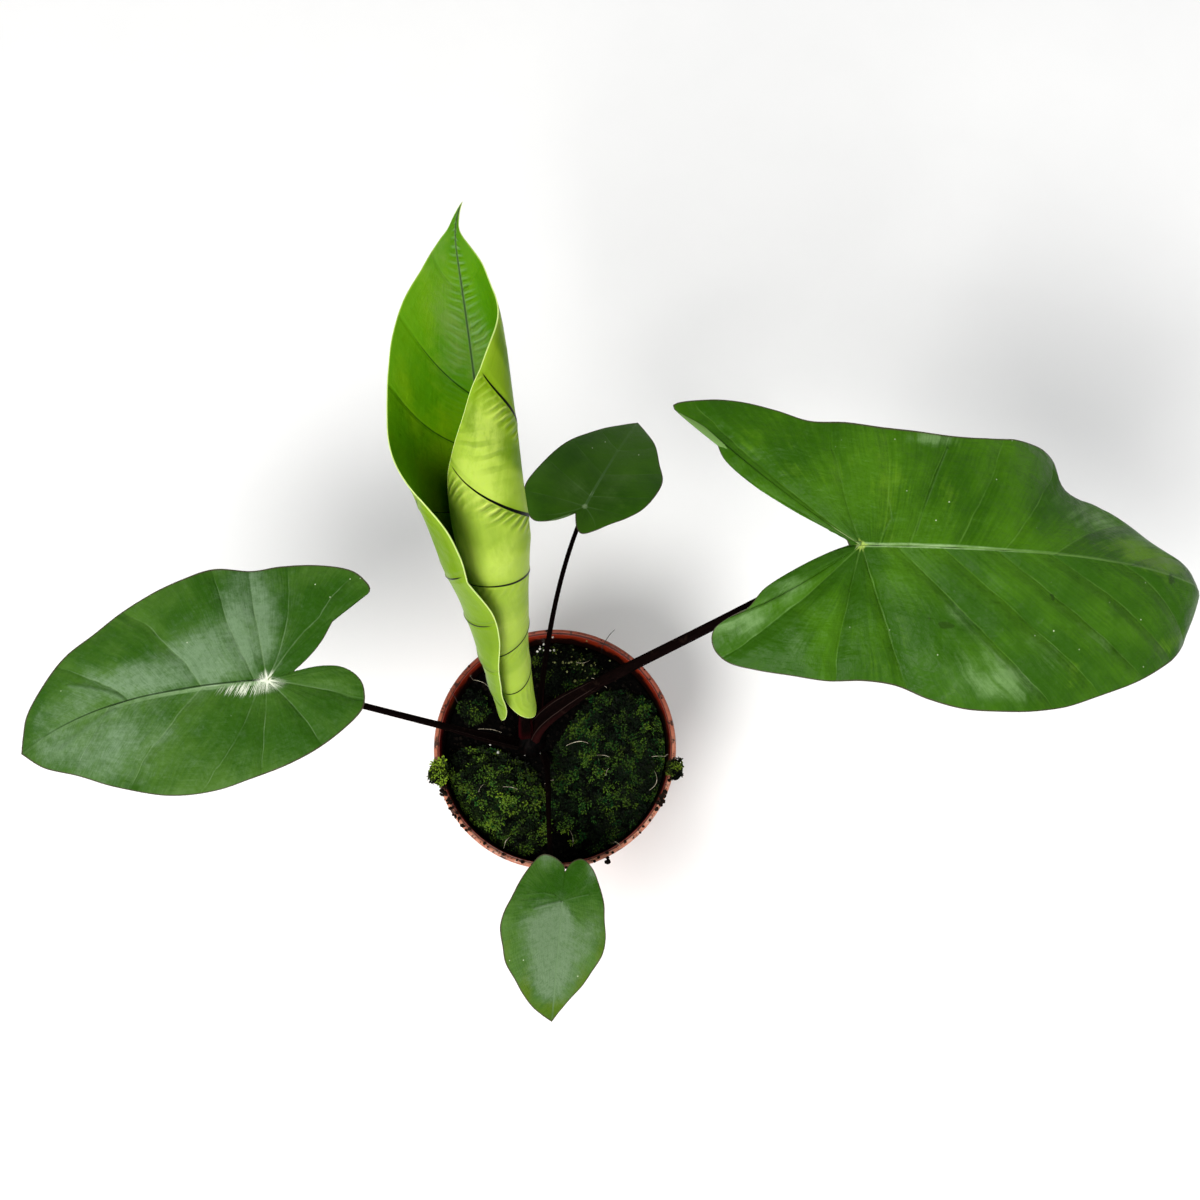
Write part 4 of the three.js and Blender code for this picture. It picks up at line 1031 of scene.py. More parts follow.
def half_blade(name, rail, side):
    """One half of a blade as a grid of points from the midrib to the margin, each row along
    a side vein or between two, with the measures that the materials need."""
    blade = BLADES[name]
    shape = blade["sides"][side]
    ahead, in_lobe = blade["rows"]
    columns = blade["columns"]
    margin = shape["margin"]
    knots = vein_knots(shape)
    first_lobe = int(np.argmax(knots[:, 1] <= 0))
    split = knots[first_lobe, 0]
    root = np.r_[root_rows(blade), np.zeros(in_lobe)]
    share = np.interp(root[:ahead + 1], knots[first_lobe::-1, 1], knots[first_lobe::-1, 0])
    share = np.r_[share, split + (1 - split) * np.arange(1, in_lobe + 1) / in_lobe]
    edge = outline_points(margin, share)
    bow = np.c_[np.interp(share, knots[:, 0], knots[:, 2]),
                np.interp(share, knots[:, 0], knots[:, 3])]
    root = np.c_[root, 0 * root]
    control = (root + edge) / 2 + 2 * bow
    length = np.hypot(*(edge - root).T)
    rib = np.minimum(RIB_SHARE, RIB_HALF_WIDTH / np.maximum(length, 1e-9))
    j = np.arange(columns + 1)[None]
    beyond = (j - RIB_COLUMNS) / (columns - RIB_COLUMNS)
    t = np.where(beyond <= 0, rib[:, None] * j / RIB_COLUMNS,
                 rib[:, None] + (1 - rib[:, None]) * beyond)
    w = t[..., None]
    flat = ((1 - w) ** 2 * root[:, None] + 2 * w * (1 - w) * control[:, None]
            + w * w * edge[:, None])
    u, v = flat[..., 0], flat[..., 1]
    phase = np.interp(share, knots[:, 0], np.arange(len(knots)))[:, None] + 0 * t
    step = np.gradient(flat, axis=0)
    course = np.gradient(flat, axis=1)
    course /= np.maximum(np.linalg.norm(course, axis=2, keepdims=True), 1e-9)
    apart = np.abs(step[..., 0] * course[..., 1] - step[..., 1] * course[..., 0])
    spacing = apart / np.maximum(np.gradient(phase, axis=0), 1e-6)
    spacing = np.clip(spacing, 0.2, WIDEST_SPACING)
    spacing[phase > len(knots) - 1.5] = WIDEST_SPACING
    side_vein = np.abs(phase - np.round(phase)) * spacing
    lift, window = swelling(shape, share, t, phase, spacing, u, v)
    place = bent(blade, rail, side, u, v, lift)
    taper = np.maximum(0, 1 - np.maximum(root[:, :1], 0) / margin[0][0])
    ridge = RIB_DEPTH * taper * np.maximum(0, 1 - (t / rib[:, None]) ** 2)
    vein_ridge = VEIN_RIDGE * np.exp(-(side_vein / VEIN_HALF_WIDTH) ** 2) * window
    out = v if side == 0 else -v
    rows = np.arange(ahead + in_lobe + 1)[:, None]
    from_rib = (t if side == 0 else -t) * length[:, None]
    course = np.cumsum(apart[:, columns // 2])[:, None]
    measures = {
        "course": course + 0 * t, "half": np.full_like(t, side),
        "rib": np.where(rows <= ahead, from_rib, FAR_FROM_RIB),
        "spacing": spacing, "edge": (1 - t) * length[:, None], "across": t, "phase": phase,
        "near": np.hypot(u, v), "ridge": ridge + vein_ridge,
        "crease": crease_field(blade.get("creases", []), u, out, 0),
        "behind": crease_field(blade.get("creases", []), u, out, CREASE_SHADE),
    }
    for key in ("bloom", "fresh", "deep", "stain", "hairs"):
        measures[key] = patch_field(blade.get(key, []), u, out)
    return place, measures


def joined_faces(rows, wide, ahead):
    """The faces of both halves of a blade, which share their points along the midrib, at the
    tip and at the notch; ahead is the row that leaves the junction."""
    count = rows * wide
    number = np.arange(2 * count)
    first = np.arange(rows) * wide
    number[first[ahead:]] = first[ahead]
    number[:wide] = 0
    number[count + first] = number[first]
    number[count:count + wide] = 0
    number[count + first[-1]:count + first[-1] + wide] = number[first[-1]:first[-1] + wide]
    faces = []
    for side, start in ((0, 0), (1, count)):
        for a, b, c, d in grid_faces(rows, wide, start):
            quad = [number[x] for x in ((a, b, c, d) if side == 0 else (a, d, c, b))]
            corners = list(dict.fromkeys(quad))
            if len(corners) >= 3:
                faces.append(corners)
    return faces


def blade_piece(name):
    """A blade: both halves joined along the midrib, given a thickness and a margin."""
    blade = BLADES[name]
    rail = midrib_frame(blade)
    places, measures = zip(*(half_blade(name, rail, side) for side in (0, 1)))
    places[1][:, 0] = places[0][:, 0]
    places[1][-1] = places[0][-1]
    points = np.concatenate([p.reshape(-1, 3) for p in places])
    values = {k: np.concatenate([m[k].reshape(-1) for m in measures]) for k in measures[0]}
    faces = joined_faces(*places[0].shape[:2], blade["rows"][0])
    used = np.unique(np.concatenate([np.array(f) for f in faces]))
    packed = np.full(len(points), -1)
    packed[used] = np.arange(len(used))
    faces = [[packed[x] for x in f] for f in faces]
    points = points[used]
    values = {k: v[used] for k, v in values.items()}
    ridge = values.pop("ridge")
    normals = point_normals(points, faces)
    thin = np.clip(values["edge"] / MARGIN_TAPER, 0, 1)
    half_thick = (EDGE_THICKNESS + (BLADE_THICKNESS - EDGE_THICKNESS) * thin) / 2
    upper = points + normals * half_thick[:, None]
    lower = points - normals * (half_thick + ridge)[:, None]
    count = len(points)
    border = border_edges(faces)
    rim_points, rim_faces = [], []
    for a, b in border:
        k = 2 * count + len(rim_points)
        rim_points += [upper[a], upper[b], lower[b], lower[a]]
        rim_faces.append((k, k + 3, k + 2, k + 1))
    ends = [x for a, b in border for x in (a, b, b, a)]
    all_points = np.concatenate([upper, lower, np.array(rim_points)]) * MM
    all_faces = faces + [[count + x for x in reversed(f)] for f in faces] + rim_faces
    slots = [0] * len(faces) + [1] * len(faces) + [2] * len(rim_faces)
    data = {k: np.concatenate([v, v, v[ends]]) for k, v in values.items()}
    under = young_under_face() if name == "new" else under_face(name)
    materials = [upper_face(name), under, margin_material(name)]
    obj = mesh_object(f"blade_{name}", all_points, all_faces, materials, slots, values=data)
    finish_piece(obj, f"leaf_{name}", f"blade_{name}")


def point_normals(points, faces):
    """The direction that the surface faces at each point, from its triangles and quads."""
    normals = np.zeros_like(points)
    for size in (3, 4):
        group = np.array([f for f in faces if len(f) == size])
        if not len(group):
            continue
        p = points[group]
        if size == 3:
            normal = np.cross(p[:, 1] - p[:, 0], p[:, 2] - p[:, 0])
        else:
            normal = np.cross(p[:, 2] - p[:, 0], p[:, 3] - p[:, 1])
        for k in range(size):
            np.add.at(normals, group[:, k], normal)
    return normals / np.maximum(np.linalg.norm(normals, axis=1, keepdims=True), 1e-12)


def border_edges(faces):
    """The edges that only one face has, in the direction in which it runs round them."""
    edges = set()
    for f in faces:
        for a, b in zip(f, f[1:] + f[:1]):
            edges.add((a, b))
    return [(a, b) for a, b in sorted(edges) if (b, a) not in edges]


# ---------------------------------------------------------------- petioles and stem base


def petiole_material(name):
    """Near-black with fine streaks, redder at the foot, with a painted highlight along the sheath's
    lips.
    """
    n = Nodes(f"petiole_{name}")
    turn = n.attribute("turn")
    along = n.attribute("along")
    streaks = n.noise(n.vector(turn * 9.0, along), 3.0, 4)
    mottle = n.noise(n.place, 260)
    foot = PETIOLES[name]["foot_colour"]
    colour = n.mix(streaks.ramp(0.35, 0.7), srgb(4, 3, 3), srgb(20, 10, 9))
    colour = n.mix(mottle.ramp(0.6, 0.72, 0, 0.5), colour, srgb(34, 24, 20))
    flank = along.ramp(1.0, 5.0, 1, 0) * abs(turn).ramp(0.55, 0.9)
    colour = n.mix(flank * 0.8, colour, foot)
    colour = n.mix(along.ramp(0.8, 2.4, 0.6, 0), colour, foot)
    # painted highlight along the sheath's lips
    lip = n.attribute("lip").ramp(0.7, 0.98, 0, 0.7)
    colour = n.mix(lip, colour, PETIOLES[name]["lip_highlight"])
    return n.surface(colour, mottle.ramp(0.3, 0.7, 0.4, 0.55),
                     n.bump(streaks + mottle * 0.4, 0.0003), Specular_IOR_Level=0.0)


def petiole_piece(name):
    """A petiole: an oval tube whose lower part is a sheath with two thin lips."""
    spec = PETIOLES[name]
    blade = BLADES[name]
    _, point, _, normal = midrib_frame(blade)
    at = int(round(-blade["span"][0] / MIDRIB_STEP))
    end = point[at] - normal[at] * (BLADE_THICKNESS / 2 + RIB_DEPTH + GAP)
    curve = np.array([*spec["curve"], end])
    rings, sides = 90, 96
    s = np.linspace(0, 1, rings + 1)[:, None]
    centre = ((1 - s) ** 3 * curve[0] + 3 * s * (1 - s) ** 2 * curve[1]
              + 3 * s * s * (1 - s) * curve[2] + s**3 * curve[3])
    along = np.gradient(centre, axis=0)
    along /= np.linalg.norm(along, axis=1, keepdims=True)
    outwards = (end - curve[0]) * (1, 1, 0)
    outwards /= np.linalg.norm(outwards)
    level = np.array([-outwards[1], outwards[0], 0])
    side = level - along * (along @ level)[:, None]
    side /= np.linalg.norm(side, axis=1, keepdims=True)
    upper = -np.cross(side, along)
    slim = np.sqrt(s)
    within = np.maximum(0, 1 - s / spec["sheath"])
    flare = spec["wing"] * np.minimum(1, WING_TAPER * within)
    half_width = spec["foot"][0] + (spec["top"][0] - spec["foot"][0]) * slim + flare
    half_depth = spec["foot"][1] + (spec["top"][1] - spec["foot"][1]) * slim
    opening = spec["channel"] * np.sqrt(within)
    angle = directions(sides, 0.5)
    degrees = np.degrees(angle)
    trough = np.exp(-((degrees - OPENING_AT) / OPENING_WIDTH) ** 2)[None]
    lips = sum(np.exp(-((degrees - lip) / LIP_WIDTH) ** 2) for lip in LIPS_AT)[None]
    lips = lips * np.clip((spec["sheath"] * 1.25 - s) / 0.15, 0, 1)
    reach = 1 - opening * trough * 1.15 + 0.1 * lips
    ripple = 1 + 0.012 * np.sin(9 * angle[None] + 6 * s)
    x = half_width * np.cos(angle)[None] * reach * ripple
    y = half_depth * np.sin(angle)[None] * reach * ripple
    points = centre[:, None] + side[:, None] * x[..., None] + upper[:, None] * y[..., None]
    into = along[-1] @ normal[at]
    excess = ((points[-1] - end) @ normal[at] - GAP - 0.6) / into
    points[-1] -= along[-1] * excess[:, None]
    rows = rings + 1
    measures = {"turn": np.cos(angle)[None], "along": 12 * s, "lip": lips}
    values = {key: np.broadcast_to(measure, (rows, sides)).reshape(-1)
              for key, measure in measures.items()}
    obj = mesh_object(f"petiole_{name}", points.reshape(-1, 3) * MM, tube_faces(rows, sides),
                      [petiole_material(name)], values=values)
    finish_piece(obj, "petiole", f"petiole_{name}")


def stem_material():
    """Near-black with fibres that run upwards."""
    n = Nodes("stem")
    fibres = n.noise(n.scaled(n.place, (1, 1, 0.12)), 420, 4)
    colour = n.mix(fibres.ramp(0.35, 0.7), srgb(1, 1, 1), srgb(9, 4, 4))
    return n.surface(colour, 0.6, n.bump(fibres, 0.0006), Specular_IOR_Level=0.03)


def stem_piece():
    """The stem base: overlapping stumps of old sheaths round a short core."""
    rows, sides = 40, 72
    s = np.linspace(0, 1, rows)[:, None]
    angle = directions(sides)
    z = STEM_FOOT + (STEM_TOP - STEM_FOOT) * s
    taper = np.sqrt(np.clip(1 - np.clip((s - 0.72) / 0.28, 0, 1) ** 2.2, 0, 1))
    steps = 0.5 * np.sign(np.sin(3 * angle[None] + 7 * s)) * np.clip((s - 0.4) * 3, 0, 1)
    fibres = 0.18 * np.sin(26 * angle[None] + 5 * np.sin(9 * s))
    radius = (STEM_RADIUS - 0.7 + steps + fibres) * taper
    points = np.stack([STEM_CENTRE[0] + radius * np.cos(angle)[None],
                       STEM_CENTRE[1] + radius * np.sin(angle)[None],
                       z + 0 * angle[None]], -1)
    faces = tube_faces(rows, sides)[:-1]
    obj = mesh_object("stem_base", points.reshape(-1, 3) * MM, faces, [stem_material()])
    finish_piece(obj, "stem", "stem_base")


# ---------------------------------------------------------------- pot


def inner_radius(z):
    """The pot's radius inside at a height."""
    slope = (SHOULDER_RADIUS - BASE_RADIUS) / (POT_HEIGHT - COLLAR_HEIGHT)
    return BASE_RADIUS - POT_WALL + slope * np.minimum(z, POT_HEIGHT - COLLAR_HEIGHT)


def pot_material():
    """Terracotta plastic: chalky and scuffed in front, painted darker and redder behind as shade,
    dirty near the rim.
    """
    n = Nodes("pot_plastic")
    y, z = n.coordinate("Y"), n.coordinate("Z")
    radius = n.radius()
    colour = n.mix(n.noise(n.place, 28, 4).ramp(0.35, 0.65), srgb(146, 70, 46), srgb(168, 90, 64))
    chalk = n.noise(n.place, 160, 4, 0.7)
    rim = z.ramp(0.1075, 0.1095) * chalk.ramp(0.3, 0.6, 0.3, 0.85)
    colour = n.mix(rim, colour, srgb(190, 122, 96))
    pale = n.noise(n.scaled(n.place, (1, 1, 6)), 120, 5, 0.75)
    scuffs = pale.ramp(0.52, 0.62) * y.ramp(-0.035, 0.0, 0.8, 0.1)
    colour = n.mix(scuffs, colour, srgb(196, 156, 138))
    # painted shade: darker and redder towards the back
    colour = n.mix(y.ramp(-0.02, 0.04, 0, 0.85), colour, srgb(116, 40, 20))
    inner = radius.ramp(0.0574, 0.0577, 1, 0) * z.ramp(0.094, 0.096)
    colour = n.mix(inner, colour, srgb(112, 40, 30))
    groove = radius.ramp(0.0574, 0.0577) * radius.ramp(0.0578, 0.0582, 1, 0)
    colour = n.mix(groove * 0.9, colour, srgb(34, 12, 10))
    soil = n.noise(n.place, 210, 5, 0.75)
    dirt = soil.ramp(0.53, 0.6) * z.ramp(0.07, 0.108, 0.1, 0.9)
    colour = n.mix(dirt, colour, srgb(30, 16, 11))
    ridges = n.noise(n.scaled(n.place, (0.4, 0.4, 3)), 200)
    return n.surface(colour, chalk.ramp(0.3, 0.7, 0.34, 0.55),
                     n.bump(ridges * 0.5 + soil * 0.5, 0.0003), Specular_IOR_Level=0.3)


def inner_wall_material():
    """The inside, with painted light and shade: wine red at the front, where the wall is in shade,
    orange behind, where it is lit, and painted near-black shade below a ragged line under the rim,
    down to the soil.
    """
    n = Nodes("pot_inside")
    soil = n.noise(n.place, 150, 5, 0.7)
    # painted light and shade: wine red at the front, in shade, orange behind, where it is lit
    back = n.coordinate("Y").ramp(0.0, 0.05)
    colour = n.mix(back, srgb(74, 10, 8), srgb(138, 40, 17))
    # painted shade: near-black below the rim, deep in the pot
    low = (n.coordinate("Z") + soil * 0.012).ramp(0.1085, 0.113, 0.98, 0)
    colour = n.mix(low, colour, srgb(9, 4, 3))
    return n.surface(colour, 0.32, n.bump(soil, 0.0004), Specular_IOR_Level=0.35)


def pot_piece():
    """A turned shell with a collar, a rolled lip and drain holes."""
    shoulder = POT_HEIGHT - COLLAR_HEIGHT
    lip = RIM_RADIUS - RIM_WIDTH
    profile = [
        (DRAIN_CIRCLE - 9, 0), (BASE_RADIUS - 4, 0), (BASE_RADIUS - 1.6, 0.1),
        (BASE_RADIUS - 0.5, 0.6), (BASE_RADIUS, 1.8), (BASE_RADIUS + 0.35, 4),
        (SHOULDER_RADIUS - 0.2, shoulder - 1), (SHOULDER_RADIUS, shoulder - 0.2),
        (SHOULDER_RADIUS + 0.5, shoulder), (RIM_RADIUS - 1.7, shoulder + 0.2),
        (RIM_RADIUS - 1.2, shoulder + 0.8), (RIM_RADIUS - 0.6, POT_HEIGHT - 5),
        (RIM_RADIUS - 0.1, POT_HEIGHT - 2.5), (RIM_RADIUS, POT_HEIGHT - 1.2),
        (RIM_RADIUS - 0.35, POT_HEIGHT - 0.35), (RIM_RADIUS - 1.0, POT_HEIGHT),
        (lip + 1.3, POT_HEIGHT - 0.05), (lip + 0.95, POT_HEIGHT - 0.45),
        (lip + 0.75, POT_HEIGHT - 0.8), (lip + 0.5, POT_HEIGHT - 0.5),
        (lip + 0.2, POT_HEIGHT - 0.45), (lip, POT_HEIGHT - 1.1),
        (lip - 0.15, POT_HEIGHT - 2.5), (inner_radius(shoulder) + 0.5, shoulder + 2),
        (inner_radius(shoulder), shoulder - 2), (inner_radius(40), 40),
        (inner_radius(BASE_THICKNESS), BASE_THICKNESS),
        (DRAIN_CIRCLE - 9, BASE_THICKNESS),
    ]
    first_inside = 20  # the points of the profile from here on line the pot
    sides = 180
    angle = directions(sides)
    points = []
    for r, z in profile:
        wobble = 0.12 * np.sin(3 * angle + 1) * min(1.0, z / POT_HEIGHT)
        for a, dr in zip(angle, wobble):
            points.append(((r + dr) * math.cos(a), (r + dr) * math.sin(a), z))
    rows = len(profile)
    faces = grid_faces(rows, sides, closed=True)
    slots = [int(i >= first_inside * sides) for i in range(len(faces))]
    start = len(points)
    points += [(0, 0, 0), (0, 0, BASE_THICKNESS)]
    for j in range(sides):
        k = (j + 1) % sides
        faces.append((start, k, j))
        faces.append((start + 1, (rows - 1) * sides + j, (rows - 1) * sides + k))
        slots += [0, 1]
    points = np.array(points) * MM
    obj = mesh_object("pot", points, faces, [pot_material(), inner_wall_material()], slots)
    drill_drains(obj)
    finish_piece(obj, "pot_plastic", "pot")


def drill_drains(pot):
    """Cuts the drain holes through the pot's base."""
    sides = 24
    points, faces = [], []
    for i in range(DRAIN_HOLES):
        a = 2 * math.pi * i / DRAIN_HOLES
        x, y = DRAIN_CIRCLE * math.cos(a), DRAIN_CIRCLE * math.sin(a)
        start = len(points)
        for z in (-5, 8):
            for k in range(sides):
                b = 2 * math.pi * k / sides
                points.append((x + DRAIN_RADIUS * math.cos(b), y + DRAIN_RADIUS * math.sin(b), z))
        faces += tube_faces(2, sides, start)
    cutter = mesh_object("drain_cutter", np.array(points) * MM, faces, [])
    cut = pot.modifiers.new("drains", "BOOLEAN")
    cut.operation = "DIFFERENCE"
    cut.object = cutter
    cut.solver = "EXACT"
    bpy.context.view_layer.update()
    graph = bpy.context.evaluated_depsgraph_get()
    carved = bpy.data.meshes.new_from_object(pot.evaluated_get(graph))
    pot.modifiers.clear()
    pot.data = carved
    bpy.data.objects.remove(cutter)


# ---------------------------------------------------------------- soil

# Dirt on the rim: how many crumbs, between which directions (degrees), and how far they
# wander from the middle of the rim.
RIM_DIRT = [(40, 200, 226, 1.3), (20, 226, 300, 0.9), (12, 300, 345, 0.9),
            (24, 331, 338, 1.4), (24, 194, 204, 1.8), (8, 20, 160, 0.6)]
# A clod that sticks to the front of the rim.
CLOD = [(26.1, -54.3, 108.9), (26.2, -56.2, 108.2), (26.4, -56.0, 109.0)]
CLOD_SIZES = (1.8, 3.0, 2.8)

# Root fibres that lie on the moss: middle, heading in degrees, length, bow and thickness.
FIBRES = [
    (11, 2, 4, 11, 1.6, 0.34), (24, -4, -6, 6, 0.5, 0.3), (52, -4, 2, 8, 0.4, 0.26),
    (48, -16, 75, 10, -2.5, 0.3), (-22, -20, -6, 7, 0.6, 0.26), (-23, -47, 65, 7, 1.2, 0.26),
    (22, 34, -28, 9, 1.0, 0.26), (14, 45, 12, 7, -1.0, 0.22), (-38, 34, -24, 10, 1.2, 0.24),
    (-33, 10, -8, 12, 0.8, 0.2), (-36, -20, 60, 5, 0.6, 0.24), (8, -44, -80, 8, 1.0, 0.22),
    (30, -48, -30, 6, 1.0, 0.24), (26, -12, 70, 4, 0.4, 0.24), (-3, -16, 20, 5, 0.3, 0.22),
]
# Twigs that lie over the back of the rim.
TWIGS = [(26.5, 54.5, 56, 12, 0.6, 0.45), (24.2, 51.6, -4, 6, 0.3, 0.6),
         (30, 49.5, 150, 7, -0.5, 0.4), (-50.5, 26.5, 122, 7, 0.4, 0.35)]


def unevenness(x, y):
    """How the soil's surface rises and falls, from about -1 to 1."""
    return 0.6 * np.sin(x / 6.3 + 1) * np.cos(y / 5.7) + 0.4 * np.sin(x / 4.1 + y / 4.9)


def soil_material():
    """Wet black compost."""
    n = Nodes("soil")
    crumbs = n.noise(n.place, 520, 6, 0.75)
    colour = n.mix(crumbs.ramp(0.45, 0.75), srgb(2, 2, 2), srgb(14, 11, 8))
    height = crumbs + n.cells(380) * 0.8
    return n.surface(colour, 0.95, n.bump(height, 0.0012), Specular_IOR_Level=0.03)


def soil_piece():
    """The soil that fills the pot, with a crumbly top."""
    rings, sides = 70, 200
    top = inner_radius(SOIL_LEVEL) - GAP
    r = top * np.linspace(0.004, 1, rings)[:, None]
    a = directions(sides)[None]
    x, y = r * np.cos(a), r * np.sin(a)
    crumb = 0.5 * np.sin(x * 2.1 + 1.3 * np.sin(y * 1.7)) * np.sin(y * 2.3 + np.cos(x * 1.9))
    fade = np.where(np.arange(rings) == rings - 1, 0, 1)[:, None]
    z = SOIL_LEVEL + fade * (SOIL_BUMP * unevenness(x, y) + crumb - 0.1)
    low = inner_radius(BASE_THICKNESS) - GAP
    bottom = np.stack([low * np.cos(a[0]), low * np.sin(a[0]),
                       np.full(sides, BASE_THICKNESS + GAP)], -1)
    points = np.concatenate([np.stack([x, y, z], -1).reshape(-1, 3), bottom])
    faces = tube_faces(rings + 1, sides, turned=True)
    obj = mesh_object("soil", points * MM, faces, [soil_material()])
    finish_piece(obj, "soil", "soil")


def pebble(size):
    """A small angular lump: its points and faces."""
    base = np.array([(-1, -1, -1), (1, -1, -1), (1, 1, -1), (-1, 1, -1),
                     (-1, -1, 1), (1, -1, 1), (1, 1, 1), (-1, 1, 1),
                     (0, 0, 1.5), (0, 0, -1.5), (1.5, 0, 0), (-1.5, 0, 0), (0, 1.5, 0),
                     (0, -1.5, 0)], float)
    tilt, _ = np.linalg.qr(RNG.normal(size=(3, 3)))
    stretch = RNG.uniform(0.6, 1.2, 3)
    points = (base * RNG.uniform(0.75, 1.2, (14, 1)) * stretch * size / 3) @ tilt.T
    faces = []
    for middle, ring in ((8, (4, 5, 6, 7)), (9, (3, 2, 1, 0)), (10, (1, 2, 6, 5)),
                         (11, (0, 4, 7, 3)), (12, (2, 3, 7, 6)), (13, (0, 1, 5, 4))):
        for k in range(4):
            faces.append((middle, ring[k], ring[(k + 1) % 4]))
    return points, faces


def scatter(name, places, sizes, material):
    """A piece made of a pebble of each size at each place."""
    points, faces = [], []
    for place, size in zip(places, sizes):
        p, f = pebble(size)
        start = len(points)
        points += list(p + place)
        faces += [tuple(start + i for i in g) for g in f]
    obj = mesh_object(name, np.array(points) * MM, faces, [material], smooth=False)
    finish_piece(obj, "soil")


def crumb_material(name, dark, light):
    """Dull grains that vary from dark to light."""
    n = Nodes(name)
    tone = n.noise(n.place, 700, 4)
    colour = n.mix((tone + n.noise(n.place, 90, 2)).ramp(0.7, 1.3), dark, light)
    return n.surface(colour, 0.9, n.bump(tone, 0.0004), Specular_IOR_Level=0.05)


def on_soil(count):
    """Places scattered over the soil."""
    r = LITTER_REACH * np.sqrt(RNG.uniform(0, 1, count))
    a = RNG.uniform(0, 2 * np.pi, count)
    x, y = r * np.cos(a), r * np.sin(a)
    z = SOIL_LEVEL + SOIL_BUMP * unevenness(x, y) + 0.3
    return np.c_[x, y, z]


def near(x, y, spread, count):
    """Places scattered round a spot on the soil."""
    px, py = RNG.normal(x, spread[0], count), RNG.normal(y, spread[1], count)
    return np.array([(a, b, moss_top(a, b) + 0.5) for a, b in zip(px, py)])


def along_rim(count, start, end, wander):
    """Places on top of the rim between two directions in degrees."""
    a = np.radians(RNG.uniform(start, end, count))
    r = RIM_RADIUS - 1.2 + RNG.uniform(-wander, wander, count)
    return np.c_[r * np.cos(a), r * np.sin(a), np.full(count, POT_HEIGHT + 0.2)]


def litter():
    """Crumbs of soil and bark, perlite, dirt on the rim, root fibres and twigs."""
    places = on_soil(1100)
    scatter("soil_crumbs", places, RNG.uniform(0.7, 2.2, len(places)),
            crumb_material("crumbs", srgb(2, 2, 2), srgb(20, 15, 11)))
    grains = np.concatenate([near(-6, 52, (3, 1.2), 12), near(-31, 2, (3, 2), 4),
                             near(-9, -1, (3, 2), 4)])
    scatter("perlite", grains, RNG.uniform(0.6, 1.5, len(grains)),
            crumb_material("perlite", srgb(168, 166, 156), srgb(226, 224, 216)))
    grains = np.concatenate([near(8, 45, (7, 4), 26), near(15, 42, (6, 5), 12)])
    scatter("pale_grains", grains, RNG.uniform(0.5, 1.4, len(grains)),
            crumb_material("pale_grain", srgb(84, 88, 44), srgb(150, 154, 104)))
    rim = np.concatenate([along_rim(*spread) for spread in RIM_DIRT])
    scatter("rim_crumbs", rim, RNG.uniform(0.5, 2.2, len(rim)),
            crumb_material("rim_soil", srgb(5, 4, 3), srgb(34, 24, 17)))
    scatter("rim_clod", np.array(CLOD), CLOD_SIZES,
            crumb_material("clod_soil", srgb(5, 4, 4), srgb(26, 20, 16)))
    strand_piece("root_fibres", FIBRES,
                 fibre_material("fibre", srgb(104, 92, 72), srgb(214, 204, 180)))
    strand_piece("rim_twigs", TWIGS, fibre_material("twig", srgb(14, 10, 8), srgb(58, 46, 36)))


def fibre_material(name, dark, light):
    """Dead fibres that vary from dark to light along them."""
    n = Nodes(name)
    tone = n.noise(n.place, 400)
    return n.surface(n.mix(tone.ramp(0.35, 0.65), dark, light), 0.6, n.bump(tone, 0.0002))


def strand_piece(name, table, material):
    """A piece made of thin bowed strands that lie on what is under them."""
    points, faces = [], []
    steps, sides = 14, 6
    for x, y, heading, length, bow, thick in table:
        h = math.radians(heading)
        along = np.array([math.cos(h), math.sin(h)])
        side = np.array([-along[1], along[0]])
        start = len(points)
        for i in range(steps + 1):
            t = 2 * i / steps - 1
            flat = np.array([x, y]) + along * t * length / 2 + side * bow * (1 - t * t)
            level = moss_top(flat[0], flat[1]) + 1.0 + 0.3 * math.sin(5 * t)
            radius = thick * (1 - 0.5 * t * t) / 3 + 0.04
            for k in range(sides):
                b = 2 * math.pi * k / sides
                offset = side * radius * math.cos(b)
                points.append((flat[0] + offset[0], flat[1] + offset[1],
                               level + radius * math.sin(b)))
        faces += tube_faces(steps + 1, sides, start)
    obj = mesh_object(name, np.array(points) * MM, faces, [material])
    finish_piece(obj, "soil")


# ---------------------------------------------------------------- moss


def knobs(x, y):
    """How the moss rises and falls in small knobs, from 0 to 1."""
    a = np.sin(x / 2.3 + 0.9 * np.sin(y / 3.7))
    b = np.sin(y / 2.1 + 0.8 * np.sin(x / 4.3) + 1)
    return 0.5 + 0.25 * (a + b)


def reach_at(cushion, angle):
    """How far a cushion reaches in a direction: a smooth closed curve through its reach."""
    p = np.array(cushion["reach"], float)
    q = np.mod(angle / (np.pi / 4), 8)
    i = q.astype(int) % 8
    return between(p[(i - 1) % 8], p[i], p[(i + 1) % 8], p[(i + 2) % 8], q - np.floor(q))


def on_rim(cushion):
    """Whether a cushion lies on the rim and not on the soil."""
    return abs(cushion["centre"][0]) > RIM_MOSS_FROM


def cushion_point(cushion, share, angle):
    """A point of a cushion's surface, share of the way out from its centre."""
    floor = (POT_HEIGHT if on_rim(cushion) else SOIL_LEVEL + SOIL_BUMP) + GAP
    cx, cy = cushion["centre"]
    reach = reach_at(cushion, angle)
    ex, ey = cx + reach * np.cos(angle), cy + reach * np.sin(angle)
    if not on_rim(cushion):
        limit = inner_radius(SOIL_LEVEL) - 2 * GAP
        shrink = np.minimum(1, limit / np.maximum(np.hypot(ex, ey), 1e-9))
        ex, ey = ex * shrink, ey * shrink
    x, y = cx + share * (ex - cx), cy + share * (ey - cy)
    dome = cushion["height"] * (1 - share**3) * (0.62 + 0.38 * knobs(x, y))
    return x, y, floor + MOSS_EDGE + dome, floor


